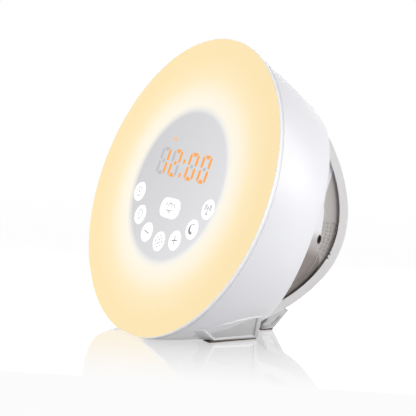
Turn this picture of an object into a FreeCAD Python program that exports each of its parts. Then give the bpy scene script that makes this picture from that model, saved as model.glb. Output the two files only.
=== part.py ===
# Sunrise alarm clock: a round lamp that leans back, with a clock face in the middle of it.
# A parametric FreeCAD document in millimetres. +Z is up, the floor is Z = 0, and the face
# looks toward -Y. Each named piece is written as its own STEP file.
import FreeCAD
import Part
import Sketcher
import math
import os
from FreeCAD import Placement, Rotation, Vector

doc = FreeCAD.newDocument("SunriseClock")

# Driving dimensions

DIMENSIONS = [
    ("centre_back", 39.9, "how far the middle of the face lies in front of the clock's middle"),
    ("face_tilt", 18.35, "lean of the face back from the vertical, degrees"),
    ("face_height", 86.0, "height of the middle of the face over the floor"),
    ("dome_arc", 165.4, "radius of the arc that is turned into the dome"),
    ("dome_lap", 0.2, "how far the dome's front edge would stand past the diffuser"),
    ("dome_fore", 21.45, "how far the arc's centre lies in front of the face"),
    ("shell_wall", 2.5, "wall of the front shell"),
    ("rear_wall", 2.2, "wall of the rear housing"),
    ("fit_gap", 0.3, "clearance between shells"),
    ("snug_gap", 0.1, "clearance between seated pieces"),
    ("base_lift", 1.0, "height of the flat underside over the floor"),
    ("part_arc", 158.4, "radius of the parting curve, seen from the side"),
    ("part_depth", 203.0, "depth of the parting curve's centre behind the face"),
    ("part_up", 2.0, "height of the parting curve's centre over the axis"),
    ("lens_radius", 90.9, "radius of the diffuser"),
    ("lens_thick", 2.4, "thickness of the diffuser"),
    ("lens_edge", 1.0, "rounding of the diffuser's front edge"),
    ("lens_seam", 0.15, "seam between the diffuser and the shell"),
    ("skirt_inset", 3.15, "how far the skirt lies inside the diffuser's edge"),
    ("skirt_wall", 1.5, "wall of the skirt"),
    ("skirt_depth", 2.6, "length of the skirt behind the diffuser"),
    ("key_radius", 5.85, "radius of a round key"),
    ("key_proud", 0.3, "how far a key stands out of the diffuser"),
    ("key_edge", 0.4, "rounding of a key's edge"),
    ("key_gap", 0.2, "clearance round a key"),
    ("key_travel", 0.5, "travel of a key"),
    ("key_flange", 1.0, "width of the flange that holds a key in"),
    ("flange_web", 0.7, "thickness of that flange"),
    ("key_stem", 1.5, "radius of a key's stem"),
    ("key_arc", 41.4, "radius of the curve that the round keys lie on"),
    ("key_arc_up", 7.4, "height of that curve's centre over the axis"),
    ("key_pitch", 22.3, "angle from one key to the next, degrees"),
    ("snooze_wide", 22.0, "width of the snooze key"),
    ("snooze_high", 12.6, "height of the snooze key"),
    ("snooze_corner", 4.6, "corner radius of the snooze key"),
    ("snooze_drop", 13.7, "how far the snooze key lies below the middle"),
    ("shield_radius", 47.2, "inner radius of the shield round the clock face"),
    ("shield_wall", 1.6, "wall of the shield"),
    ("tray_depth", 25.5, "depth of the reflector tray's floor"),
    ("tray_wall", 1.8, "thickness of the reflector tray"),
    ("tray_radius", 82.0, "outer radius of the tray's floor"),
    ("tray_mouth", 85.6, "outer radius of the tray's mouth"),
    ("tray_front", 5.4, "depth of the tray's front edge"),
    ("lamp_inner", 50.0, "inner radius of the lamp board"),
    ("lamp_outer", 77.5, "outer radius of the lamp board"),
    ("board_thick", 1.6, "thickness of a circuit board"),
    ("lamp_count", 18, "number of lamp diodes"),
    ("lamp_circle", 63.0, "radius of the circle of lamp diodes"),
    ("lamp_side", 5.0, "side of a lamp diode"),
    ("lamp_thick", 1.5, "thickness of a lamp diode"),
    ("lamp_screw_circle", 73.5, "radius of the circle of the lamp board's screws"),
    ("switch_depth", 9.0, "depth of the switch board's front face"),
    ("switch_radius", 46.0, "radius of the switch board"),
    ("switch_side", 6.0, "side of a tact switch"),
    ("switch_thick", 3.4, "thickness of a tact switch"),
    ("plunger_radius", 1.7, "radius of a switch's plunger"),
    ("plunger_rise", 0.5, "how far a plunger stands out of its switch"),
    ("display_wide", 54.0, "width of the display module"),
    ("display_high", 21.0, "height of the display module"),
    ("display_up", 12.5, "height of the display's middle over the axis"),
    ("post_radius", 3.2, "radius of a screw post"),
    ("screw_radius", 1.25, "radius of a small screw"),
    ("screw_head", 2.4, "radius of a small screw's head"),
    ("head_thick", 1.5, "thickness of a small screw's head"),
    ("screw_bite", 6.0, "length of a small screw's thread in its post"),
    ("switch_post_circle", 41.5, "radius of the circle of the switch board's posts"),
    ("switch_post_low", 11.5, "angle of the lower posts from the bottom, degrees"),
    ("switch_post_high", 42.0, "angle of the upper posts from the top, degrees"),
    ("main_depth", 33.0, "depth of the main board's front face"),
    ("main_wide", 108.0, "width of the main board"),
    ("main_high", 60.0, "height of the main board"),
    ("main_across", 44.0, "main board posts from the middle, sideways"),
    ("main_up", 25.0, "main board posts from the middle, upward"),
    ("plug_high", 3.0, "height of a plug on the main board"),
    ("ledge_inner", 65.0, "inner radius of the shell's ledge"),
    ("ledge_thick", 2.5, "thickness of the shell's ledge"),
    ("flange_depth", 40.0, "depth of the rear housing's flange"),
    ("flange_thick", 2.5, "thickness of that flange"),
    ("boss_circle", 71.7, "radius of the circle of the housing screws"),
    ("boss_angle", 66.0, "angle of the housing screws from the top, degrees"),
    ("spine_half", 40.0, "half the width of the spine"),
    ("spine_inset", 1.2, "how far the spine lies inside the dome's surface"),
    ("band_wide", 4.6, "width of the rim round a side recess"),
    ("band_deep", 3.0, "depth of the panel inside that rim"),
    ("cap_join", 96.0, "depth where the dome's arc meets the rear cap"),
    ("cap_arc", 42.0, "radius of the rear cap's shoulder"),
    ("neck_tilt", 8.45, "lean of the neck back from the vertical, degrees"),
    ("neck_down", 15.0, "how far the neck's middle lies below its axis"),
    ("neck_near", 34.0, "depth of the neck's front outline"),
    ("neck_far", 94.0, "depth of the neck's rear outline"),
    ("neck_crease", 82.0, "depth where the neck's flank meets the side panel"),
    ("neck_slope", 0.573, "sideways narrowing of the neck for each unit of depth"),
    ("neck_high_near", 54.0, "half height of the neck's front outline"),
    ("neck_high_far", 22.0, "half height of the neck's rear outline"),
    ("neck_corner_near", 34.0, "corner radius of the neck's front outline"),
    ("neck_corner_far", 14.0, "corner radius of the neck's rear outline"),
    ("hole_radius", 0.6, "radius of a sound hole"),
    ("hole_arc", 43.4, "radius of the outer row of sound holes"),
    ("hole_step", 2.8, "distance from one row of sound holes to the next"),
    ("hole_turn", 3.7, "angle from one sound hole to the next, degrees"),
    ("hole_rows", 5, "rows of sound holes"),
    ("hole_count", 9, "sound holes in a row"),
    ("hole_centre", 50.5, "depth of the centre of the rows"),
    ("speaker_radius", 14.0, "radius of the speaker"),
    ("speaker_lip", 1.5, "thickness of the speaker's flange"),
    ("basket_radius", 11.5, "radius of the speaker's basket"),
    ("basket_deep", 6.0, "depth of the speaker's basket"),
    ("magnet_radius", 7.5, "radius of the speaker's magnet"),
    ("magnet_thick", 5.0, "thickness of the speaker's magnet"),
    ("speaker_depth", 81.0, "depth of the speaker's middle behind the face"),
    ("speaker_drop", 3.0, "how far the speaker's middle lies below the axis"),
    ("seat_wall", 1.6, "wall of the speaker's seat"),
    ("seat_high", 3.0, "height of the speaker's seat"),
    ("jack_radius", 2.7, "outer radius of the power socket"),
    ("jack_bore", 1.9, "radius of the power socket's bore"),
    ("jack_pin", 0.5, "radius of the power socket's pin"),
    ("jack_length", 11.0, "length of the power socket"),
    ("jack_proud", 0.4, "how far the socket's ring stands out"),
    ("jack_fore", 2.9, "how far the socket lies in front of the crease"),
    ("jack_drop", 1.5, "how far the socket lies below the neck's middle"),
    ("lead_radius", 0.8, "radius of a lead"),
    ("foot_inner", 28.0, "inner side of the front feet"),
    ("foot_low", 35.5, "outer side of the front feet at the floor"),
    ("foot_high", 50.0, "outer side of the front feet at the top"),
    ("foot_top", 16.0, "height of the front feet's upper ends"),
    ("foot_front_low", 5.0, "front of the front feet at the floor"),
    ("foot_front_high", -5.0, "front of the front feet at the top"),
    ("foot_back_low", 38.0, "rear of the front feet at the floor"),
    ("foot_back_high", 33.0, "rear of the front feet at the top"),
    ("heel_low", 17.0, "half the width of the rear foot at the floor"),
    ("heel_high", 27.0, "half the width of the rear foot at the top"),
    ("heel_top", 14.0, "height of the rear foot's upper end"),
    ("heel_front", 54.0, "front of the rear foot"),
    ("heel_back_low", 63.0, "rear of the rear foot at the floor"),
    ("heel_back_high", 66.0, "rear of the rear foot at the top"),
    ("pocket_rim", 3.2, "width of the rim round a foot's pocket"),
    ("pocket_base", 2.4, "height of the rim under a foot's pocket"),
    ("pocket_deep", 1.4, "depth of a foot's pocket"),
    ("crest", 3.2, "height of the rim over a foot's pocket"),
    ("pad_inset", 0.4, "how far a pad lies inside its foot"),
    ("peg_radius", 2.0, "radius of a foot's pegs"),
    ("peg_across", 32.5, "front pegs from the middle, sideways"),
    ("peg_fore", 10.0, "front pegs of the front feet, from the face's middle"),
    ("peg_aft", 28.0, "rear pegs of the front feet, from the face's middle"),
    ("peg_top", 9.0, "height of the front feet's pegs"),
    ("heel_peg_across", 11.0, "pegs of the rear foot from the middle"),
    ("heel_peg_back", 58.5, "pegs of the rear foot, from the face's middle"),
    ("heel_peg_top", 15.0, "height of the rear foot's pegs"),
]

sheet = doc.addObject("Spreadsheet::Sheet", "Dims")
DIM = {}
for row, (alias, number, note) in enumerate(DIMENSIONS, start=1):
    sheet.set(f"A{row}", alias)
    sheet.set(f"B{row}", str(number))
    sheet.set(f"C{row}", note)
    sheet.setAlias(f"B{row}", alias)
    DIM[alias] = number
doc.recompute()


def size(text):
    """The number that an expression over the sheet's names comes to."""
    return float(sheet.evalExpression(text))


# Frames

def lean_frame(obj, tilt):
    """Put an object in a frame whose origin is the middle of the face.

    Local Z leaves the face and local Y runs up it, leant back by the named angle.
    """
    middle = Vector(0, -DIM["centre_back"], DIM["face_height"])
    obj.Placement = Placement(middle, Rotation(Vector(1, 0, 0), 90 - DIM[tilt]))
    obj.setExpression("Placement.Rotation.Angle", f"90 - Dims.{tilt}")
    obj.setExpression("Placement.Base.y", "-Dims.centre_back")
    obj.setExpression("Placement.Base.z", "Dims.face_height")
    return obj


def group(name, pieces, tilt):
    """Pieces built in a leant frame's coordinates, moved into that frame together."""
    compound = doc.addObject("Part::Compound", name)
    compound.Links = list(pieces)
    return lean_frame(compound, tilt)


def in_face(name, *pieces):
    return group(name, pieces, "face_tilt")


def in_neck(name, *pieces):
    return group(name, pieces, "neck_tilt")


def place(obj, x="0", y="0", z="0"):
    """Place an object by expressions, in its own frame."""
    for axis, text in zip("xyz", (x, y, z)):
        obj.setExpression("Placement.Base." + axis, text)
    return obj


# Sketches

def plane(body, role):
    for feature in body.Origin.OriginFeatures:
        if getattr(feature, "Role", "") == role:
            return feature
    raise ValueError(role)


def outline(body, name, role, corners, arcs=None):
    """A closed outline whose corners, and arc radii, are expressions over the sheet.

    arcs maps a corner's index to (centre x, centre y, radius) of the arc that leaves it.
    """
    sketch = body.newObject("Sketcher::SketchObject", name)
    sketch.AttachmentSupport = [(plane(body, role), "")]
    sketch.MapMode = "FlatFace"
    arcs = arcs or {}
    spots = [Vector(size(x), size(y), 0) for x, y in corners]
    ends = []
    for index, start in enumerate(spots):
        end = spots[(index + 1) % len(spots)]
        if index not in arcs:
            sketch.addGeometry(Part.LineSegment(start, end), False)
            ends.append((1, 2))
            continue
        centre_x, centre_y, radius = (size(text) for text in arcs[index])
        centre = Vector(centre_x, centre_y, 0)
        angles = [math.atan2(spot.y - centre_y, spot.x - centre_x) for spot in (start, end)]
        forward = (start - centre).cross(end - centre).z > 0
        first, last = angles if forward else angles[::-1]
        circle = Part.Circle(centre, Vector(0, 0, 1), radius)
        sketch.addGeometry(Part.ArcOfCircle(circle, first, last), False)
        ends.append((1, 2) if forward else (2, 1))
    for index in range(len(spots)):
        before = index - 1 if index else len(spots) - 1
        sketch.addConstraint(Sketcher.Constraint(
            "Coincident", before, ends[before][1], index, ends[index][0]))
    for index, texts in enumerate(corners):
        point = ends[index][0]
        for letter, text, axis in zip("XY", texts, (-2, -1)):
            if text == "0":
                sketch.addConstraint(Sketcher.Constraint("PointOnObject", index, point, axis))
                continue
            bind(sketch, f"{letter.lower()}{index}", text, "Distance" + letter, -1, 1, index, point)
        if index in arcs:
            bind(sketch, f"r{index}", arcs[index][2], "Radius", index)
    return sketch


def bind(sketch, label, text, kind, *where):
    """Add a constraint whose value is an expression over the sheet."""
    number = sketch.addConstraint(Sketcher.Constraint(kind, *where, size(text)))
    sketch.renameConstraint(number, label)
    sketch.setExpression("Constraints." + label, text)


def rounded(half_wide, half_high, corner, up="0"):
    """Corners and arcs of a rounded rectangle about (0, up)."""
    x = f"(({half_wide}) - ({corner}))"
    y = f"(({half_high}) - ({corner}))"
    right = f"({half_wide})"
    high = f"({half_high})"
    corners = [(f"-{x}", f"({up}) - {high}"), (x, f"({up}) - {high}"),
               (right, f"({up}) - {y}"), (right, f"({up}) + {y}"),
               (x, f"({up}) + {high}"), (f"-{x}", f"({up}) + {high}"),
               (f"-{right}", f"({up}) + {y}"), (f"-{right}", f"({up}) - {y}")]
    arcs = {1: (x, f"({up}) - {y}", corner), 3: (x, f"({up}) + {y}", corner),
            5: (f"-{x}", f"({up}) + {y}", corner), 7: (f"-{x}", f"({up}) - {y}", corner)}
    return corners, arcs


# Building blocks

def turned(name, corners, arcs=None, tilt="face_tilt"):
    """A body turned about its local Z axis from an outline of (radius, height) corners."""
    body = doc.addObject("PartDesign::Body", name)
    if tilt:
        lean_frame(body, tilt)
    sketch = outline(body, name + "_outline", "XZ_Plane", corners, arcs)
    turn = body.newObject("PartDesign::Revolution", name + "_turn")
    turn.Profile = sketch
    turn.ReferenceAxis = (sketch, ["V_Axis"])
    turn.Angle = 360
    return body


def padded(name, corners, start, length, arcs=None):
    """A body padded along local Z from an outline in its local XY plane."""
    body = doc.addObject("PartDesign::Body", name)
    sketch = outline(body, name + "_outline", "XY_Plane", corners, arcs)
    sketch.setExpression("AttachmentOffset.Base.z", start)
    pad = body.newObject("PartDesign::Pad", name + "_pad")
    pad.Profile = sketch
    pad.setExpression("Length", length)
    return body


def lofted(name, near, near_at, far, far_at):
    """A straight-sided body between two rounded rectangles at two local heights."""
    body = doc.addObject("PartDesign::Body", name)
    first = outline(body, name + "_near", "XY_Plane", *rounded(*near))
    first.setExpression("AttachmentOffset.Base.z", near_at)
    second = outline(body, name + "_far", "XY_Plane", *rounded(*far))
    second.setExpression("AttachmentOffset.Base.z", far_at)
    loft = body.newObject("PartDesign::AdditiveLoft", name + "_loft")
    loft.Profile = first
    loft.Sections = [second]
    loft.Ruled = True
    return body


def box(name, sizes, corner):
    """A box with sizes and low corner given as expressions."""
    solid = doc.addObject("Part::Box", name)
    for prop, text in zip(("Length", "Width", "Height"), sizes):
        solid.setExpression(prop, text)
    return place(solid, *corner)


def centred_box(name, wide, high, near, far, x="0", y="0"):
    """A box about (x, y) in the face's plane, between two depths."""
    return box(name, (wide, high, f"({far}) - ({near})"),
               (f"({x}) - ({wide}) / 2", f"({y}) - ({high}) / 2", f"-({far})"))


def rod(name, radius, height, corner, rotation=None):
    """A cylinder along its local Z axis, or along the axis that a rotation turns Z to."""
    solid = doc.addObject("Part::Cylinder", name)
    solid.setExpression("Radius", radius)
    solid.setExpression("Height", height)
    if rotation:
        solid.Placement = Placement(Vector(), rotation)
    return place(solid, *corner)


def rods(name, spots, radius, near, far):
    """A rod at each spot of the face's plane, between two depths."""
    return [rod(f"{name}{index}", radius, f"({far}) - ({near})", (x, y, f"-({far})"))
            for index, (x, y) in enumerate(spots)]


def union(name, *pieces):
    """Pieces joined into one shape."""
    joined = doc.addObject("Part::MultiFuse", name)
    joined.Shapes = list(pieces)
    joined.Refine = True
    return joined


def shared(name, *pieces):
    """The space that all the pieces share."""
    common = doc.addObject("Part::MultiCommon", name)
    common.Shapes = list(pieces)
    return common


def cut(name, base, *tools):
    """A base with each tool taken away in turn."""
    for index, tool in enumerate(tools):
        result = doc.addObject("Part::Cut", name if index == len(tools) - 1 else f"{name}_{index}")
        result.Base = base
        result.Tool = tool
        result.Refine = True
        base = result
    return base


NODES = []


def node(label, obj):
    """Name a finished piece; its label names its file."""
    obj.Label = label
    NODES.append(obj)
    return obj


# The dome's arc, which meets the diffuser's edge whatever its radius

DOME_OUT = "(sqrt(Dims.dome_arc^2 - Dims.dome_fore^2) - Dims.lens_radius - Dims.dome_lap)"


def dome_radius(depth, inset="0"):
    """Radius of the dome at a depth behind the face, inside its surface by inset."""
    reach = f"(Dims.dome_arc - ({inset}))^2 - (({depth}) + Dims.dome_fore)^2"
    return f"sqrt({reach}) - {DOME_OUT}"


def dome(name, inset, front, back):
    """A solid dome from one depth to another, inset from the outer surface."""
    corners = [("0", f"-({front})"), (dome_radius(front, inset), f"-({front})"),
               (dome_radius(back, inset), f"-({back})"), ("0", f"-({back})")]
    arc = (f"-{DOME_OUT}", "Dims.dome_fore", f"Dims.dome_arc - ({inset})")
    return turned(name, corners, {1: arc})


def capped_dome(name, inset, front):
    """A dome that ends in the rear cap: the arc, a tighter shoulder and a flat."""
    whole = f"(sqrt(Dims.dome_arc^2 - (Dims.cap_join + Dims.dome_fore)^2))"
    cosine = f"({whole} / Dims.dome_arc)"
    sine = "((Dims.cap_join + Dims.dome_fore) / Dims.dome_arc)"
    arc = f"(Dims.dome_arc - ({inset}))"
    shoulder = f"(Dims.cap_arc - ({inset}))"
    centre_x = f"((Dims.dome_arc - Dims.cap_arc) * {cosine} - {DOME_OUT})"
    centre_y = f"(Dims.dome_fore - (Dims.dome_arc - Dims.cap_arc) * {sine})"
    corners = [("0", f"-({front})"), (dome_radius(front, inset), f"-({front})"),
               (f"{arc} * {cosine} - {DOME_OUT}", f"Dims.dome_fore - {arc} * {sine}"),
               (centre_x, f"{centre_y} - {shoulder}"), ("0", f"{centre_y} - {shoulder}")]
    arcs = {1: (f"-{DOME_OUT}", "Dims.dome_fore", arc), 2: (centre_x, centre_y, shoulder)}
    return turned(name, corners, arcs)


def parting(name, clearance):
    """The space behind the parting curve: a cylinder lying across the clock."""
    across = "(2 * Dims.lens_radius + 60)"
    solid = rod(name, f"Dims.part_arc - ({clearance})", across,
                (f"-{across} / 2", "Dims.part_up", "-Dims.part_depth"),
                Rotation(Vector(0, 1, 0), 90))
    return in_face(name + "_placed", solid)


def floor_block(name, height):
    """Everything below a height over the floor."""
    return box(name, ("400", "400", f"100 + ({height})"), ("-200", "-200", "-100"))


def in_front(name, depth):
    """Everything of the clock in front of a depth behind the face."""
    return in_face(name + "_placed", rod(name, "150", f"100 + ({depth})", ("0", "0", f"-({depth})")))


def slab(name, half_width):
    """The middle slice of the clock, twice half_width across."""
    block = box(name, (f"2 * {half_width}", "400", "300"), (f"-{half_width}", "-200", "-200"))
    return in_face(name + "_placed", block)


# Depths and spots that several pieces share

TRAY_BACK = "(Dims.tray_depth + Dims.tray_wall)"
LEDGE_BACK = f"({TRAY_BACK} + Dims.ledge_thick)"
SHELL_FRONT = "(Dims.lens_thick + Dims.lens_seam)"
SHELL_REACH = "(Dims.flange_depth + 35)"
INNER_FLOOR = "(Dims.base_lift + Dims.shell_wall)"
OVER_FLOOR = f"({INNER_FLOOR} + Dims.fit_gap)"
FLANGE_BACK = "(Dims.flange_depth + Dims.flange_thick)"
LIP_INSET = "(Dims.shell_wall + Dims.fit_gap)"
HOLLOW_INSET = f"({LIP_INSET} + Dims.rear_wall)"
PANEL_AT = "(Dims.spine_half - Dims.band_deep)"
INNER_WALL_AT = f"({PANEL_AT} - Dims.rear_wall)"
SWITCH_TOP = "(Dims.switch_depth - Dims.switch_thick)"
PLUNGER_TOP = f"({SWITCH_TOP} - Dims.plunger_rise)"
SWITCH_BACK = "(Dims.switch_depth + Dims.board_thick)"
LAMP_FRONT = "(Dims.tray_depth - Dims.board_thick)"
MAIN_BACK = "(Dims.main_depth + Dims.board_thick)"

BOSSES = [(f"{sx} * Dims.boss_circle * sin(Dims.boss_angle)",
           f"{sy} * Dims.boss_circle * cos(Dims.boss_angle)") for sx in (1, -1) for sy in (1, -1)]
SWITCH_POSTS = [(f"{sx} * Dims.switch_post_circle * sin({turn})",
                 f"{sy} * Dims.switch_post_circle * cos({turn})")
                for sx in (1, -1)
                for sy, turn in ((1, "Dims.switch_post_high"), (-1, "Dims.switch_post_low"))]
MAIN_POSTS = [(f"{sx} * Dims.main_across", f"{sy} * Dims.main_up") for sx in (1, -1) for sy in (1, -1)]
LAMP_SCREWS = [(f"Dims.lamp_screw_circle * sin({turn})", f"Dims.lamp_screw_circle * cos({turn})")
               for turn in (40, 140, 220, 320)]
LAMP_PINS = [("Dims.lamp_inner + 2.2", "-1.3"), ("Dims.lamp_inner + 2.2", "1.3")]

# Keys from left to right along their curve, and their steps from the lowest one
KEYS = [("alarm_key", -3), ("light_key", -2), ("minus_key", -1), ("brightness_key", 0),
        ("plus_key", 1), ("sleep_key", 2), ("radio_key", 3)]


def key_spot(step):
    return (f"Dims.key_arc * sin({step} * Dims.key_pitch)",
            f"Dims.key_arc_up - Dims.key_arc * cos({step} * Dims.key_pitch)")


SNOOZE = ("0", "-Dims.snooze_drop")


def peg_rods(name, spots, radius, low, high):
    """Upright rods at spots counted from the middle of the face."""
    return [rod(f"{name}{index}", radius, f"({high}) - ({low})",
                (x, f"({y}) - Dims.centre_back", low))
            for index, (x, y) in enumerate(spots)]


FRONT_PEGS = [("Dims.peg_across", "Dims.peg_fore"), ("Dims.peg_across", "Dims.peg_aft")]
ALL_FRONT_PEGS = FRONT_PEGS + [(f"-{x}", y) for x, y in FRONT_PEGS]
HEEL_PEGS = [(f"{side} * Dims.heel_peg_across", "Dims.heel_peg_back") for side in (1, -1)]


# Front shell

def bowl_shell():
    outside = dome("ShellOutside", "0", SHELL_FRONT, SHELL_REACH)
    inside = dome("ShellInside", "Dims.shell_wall", SHELL_FRONT, SHELL_REACH)
    hollow = cut("ShellHollow", inside, floor_block("ShellFloor", INNER_FLOOR))
    inner_ring = "Dims.shell_wall / 2"
    ledge = turned("ShellLedge", [
        ("Dims.ledge_inner", f"-{TRAY_BACK}"),
        (dome_radius(TRAY_BACK, inner_ring), f"-{TRAY_BACK}"),
        (dome_radius(LEDGE_BACK, inner_ring), f"-{LEDGE_BACK}"),
        ("Dims.ledge_inner", f"-{LEDGE_BACK}")])
    bosses = in_face("ShellBosses", *rods("ShellBoss", BOSSES, "Dims.post_radius",
                                          f"{LEDGE_BACK} - 1", "Dims.flange_depth"))
    pilots = in_face("ShellPilots", *rods("ShellPilot", BOSSES, "Dims.screw_radius",
                                          "Dims.flange_depth - Dims.screw_bite - 1",
                                          "Dims.flange_depth + 1"))
    lamp_pilots = in_face("ShellLampPilots", *rods("ShellLampPilot", LAMP_SCREWS,
                                                   "Dims.screw_radius", f"{TRAY_BACK} - 1",
                                                   f"{LEDGE_BACK} + 1"))
    peg_holes = doc.addObject("Part::Compound", "ShellPegHoles")
    peg_holes.Links = peg_rods("ShellPegHole", ALL_FRONT_PEGS,
                               "Dims.peg_radius + Dims.snug_gap / 2", "-1", "Dims.peg_top + 1")
    walls = union("ShellWalls", cut("ShellSkin", outside, hollow), ledge, bosses)
    return cut("BowlShell", walls, floor_block("ShellBase", "Dims.base_lift"),
               parting("ShellParting", "0"), pilots, lamp_pilots, peg_holes)


node("bowl_shell", bowl_shell())


# Rear housing

def neck(name, inset):
    """The neck behind the flange: a rounded oblong that narrows into the spine."""
    near_half = (f"{PANEL_AT} + Dims.neck_slope * (Dims.neck_crease - Dims.neck_near) - ({inset})")
    far_half = (f"{PANEL_AT} + Dims.neck_slope * (Dims.neck_crease - Dims.neck_far) - ({inset})")
    near = (near_half, f"Dims.neck_high_near - ({inset})", f"Dims.neck_corner_near - ({inset})",
            "-Dims.neck_down")
    far = (far_half, f"Dims.neck_high_far - ({inset})", f"Dims.neck_corner_far - ({inset})",
           "-Dims.neck_down")
    body = lofted(name, near, "-Dims.neck_near", far, "-Dims.neck_far")
    return lean_frame(body, "neck_tilt")


def jack_rod(name, radius, out, back):
    """A rod on the power socket's axis, from out beyond the neck's flank to back inside it."""
    solid = doc.addObject("Part::Cylinder", name)
    solid.setExpression("Radius", radius)
    solid.setExpression("Height", f"({out}) + ({back})")
    lean = math.degrees(math.atan(DIM["neck_slope"]))
    solid.Placement = Placement(Vector(), Rotation(Vector(0, 1, 0), 90 + lean))
    solid.setExpression("Placement.Rotation.Angle", "90 deg + atan(Dims.neck_slope)")
    length = "sqrt(1 + Dims.neck_slope^2)"
    return place(solid, f"{PANEL_AT} + Dims.neck_slope * Dims.jack_fore - ({back}) / {length}",
                 "-Dims.neck_down - Dims.jack_drop",
                 f"-(Dims.neck_crease - Dims.jack_fore) + ({back}) * Dims.neck_slope / {length}")


def sound_holes():
    """Arcs of small holes through both side panels."""
    across = "(2 * Dims.spine_half + 20)"
    holes = []
    for row in range(int(DIM["hole_rows"])):
        for step in range(int(DIM["hole_count"])):
            turn = f"({step} - (Dims.hole_count - 1) / 2) * Dims.hole_turn"
            radius = f"(Dims.hole_arc - {row} * Dims.hole_step)"
            holes.append(rod(f"SoundHole{row}_{step}", "Dims.hole_radius", across,
                             (f"-{across} / 2", f"{radius} * sin({turn}) - 1",
                              f"-(Dims.hole_centre + {radius} * cos({turn}))"),
                             Rotation(Vector(0, 1, 0), 90)))
    return in_face("SoundHoles", *holes)


def speaker_rod(name, radius, from_wall, length):
    """A rod on the speaker's axis, starting a distance inside the left wall."""
    return rod(name, radius, length,
               (f"-{INNER_WALL_AT} + ({from_wall})", "-Dims.speaker_drop", "-Dims.speaker_depth"),
               Rotation(Vector(0, 1, 0), 90))


def rear_housing():
    spine = shared("Spine", capped_dome("SpineDome", "Dims.spine_inset", "Dims.flange_depth"),
                   slab("SpineSlab", "Dims.spine_half"), parting("SpineParting", "Dims.fit_gap"))
    lip = shared("Lip", dome("LipDome", LIP_INSET, "Dims.flange_depth", "Dims.cap_join"),
                 slab("LipSlab", "Dims.spine_half"))
    flange = dome("Flange", LIP_INSET, "Dims.flange_depth", FLANGE_BACK)
    covered = cut("Covered", union("CoveredParts", lip, flange, neck("NeckOutside", "0")),
                  floor_block("CoveredFloor", OVER_FLOOR))
    panel = cut("Panel", capped_dome("PanelDome", "Dims.spine_inset + Dims.band_wide", FLANGE_BACK),
                slab("PanelSlab", PANEL_AT), neck("PanelNeck", "0"))
    hollow_dome = shared("HollowDome", capped_dome("HollowShape", HOLLOW_INSET, "0"),
                         slab("HollowSlab", INNER_WALL_AT))
    hollow = cut("Hollow", union("HollowParts", hollow_dome, neck("NeckInside", "Dims.rear_wall")),
                 floor_block("HollowFloor", f"{OVER_FLOOR} + Dims.rear_wall"))
    seat = in_face("SpeakerSeat_placed", cut(
        "SpeakerSeat",
        speaker_rod("SeatOutside", "Dims.speaker_radius + Dims.snug_gap + Dims.seat_wall",
                    "-Dims.rear_wall / 2", "Dims.rear_wall / 2 + Dims.seat_high"),
        speaker_rod("SeatInside", "Dims.speaker_radius + Dims.snug_gap", "0", "20")))
    clear = in_face("FlangeHoles", *rods("FlangeHole", BOSSES, "Dims.screw_radius + Dims.snug_gap",
                                         "Dims.flange_depth - 1", f"{FLANGE_BACK} + 1"))
    socket = in_neck("SocketHole_placed", jack_rod("SocketHole", "Dims.jack_radius + Dims.snug_gap / 2",
                                                   "12", "8"))
    pegs = doc.addObject("Part::Compound", "RearPegHoles")
    pegs.Links = (peg_rods("RearPegHole", ALL_FRONT_PEGS, "Dims.peg_radius + Dims.fit_gap",
                           "-1", "Dims.peg_top + 1")
                  + peg_rods("HeelPegHole", HEEL_PEGS, "Dims.peg_radius + Dims.snug_gap / 2",
                             "-1", "Dims.heel_peg_top + 1"))
    outside = cut("RearOutside", union("RearWhole", spine, covered), panel, hollow)
    housed = union("RearHoused", outside, seat)
    return cut("RearHousing", housed, in_front("RearFront", "Dims.flange_depth"), clear, socket,
               sound_holes(), floor_block("RearBase", "Dims.base_lift"), pegs)


node("rear_housing", rear_housing())


# Diffuser

def snooze_pad(name, grow, near, far):
    """A rounded block with the snooze key's outline, grown by an amount."""
    corners, arcs = rounded(f"Dims.snooze_wide / 2 + {grow}", f"Dims.snooze_high / 2 + {grow}",
                            f"Dims.snooze_corner + {grow}", "-Dims.snooze_drop")
    return padded(name, corners, f"-({far})", f"({far}) - ({near})", arcs)


SKIRT_OUT = "(Dims.lens_radius - Dims.skirt_inset)"


def front_diffuser():
    back = "(Dims.lens_thick + Dims.skirt_depth)"
    disc = turned("LensDisc", [
        ("0", "0"), ("Dims.lens_radius - Dims.lens_edge", "0"),
        ("Dims.lens_radius", "-Dims.lens_edge"), ("Dims.lens_radius", "-Dims.lens_thick"),
        ("0", "-Dims.lens_thick")],
        {1: ("Dims.lens_radius - Dims.lens_edge", "-Dims.lens_edge", "Dims.lens_edge")})
    skirt = turned("LensSkirt", [
        (f"{SKIRT_OUT} - Dims.skirt_wall", "-(Dims.lens_thick - 1)"),
        (SKIRT_OUT, "-(Dims.lens_thick - 1)"), (SKIRT_OUT, f"-{back}"),
        (f"{SKIRT_OUT} - Dims.skirt_wall", f"-{back}")])
    raised = cut("SkirtRaised", skirt, floor_block("SkirtFloor", OVER_FLOOR))
    trimmed = cut("DiscTrimmed", disc, floor_block("DiscFloor", "Dims.base_lift"))
    holes = rods("LensHole", [key_spot(step) for _, step in KEYS],
                 "Dims.key_radius + Dims.key_gap", "-1", "Dims.lens_thick + 1")
    holes.append(snooze_pad("SnoozeHole", "Dims.key_gap", "-1", "Dims.lens_thick + 1"))
    return cut("Diffuser", union("LensWhole", trimmed, raised), in_face("LensHoles", *holes))


node("front_diffuser", front_diffuser())

# Keys

FLANGE_AT = "(Dims.lens_thick + Dims.snug_gap)"
STEM_END = f"({PLUNGER_TOP} - Dims.key_travel - Dims.snug_gap / 2)"


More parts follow.
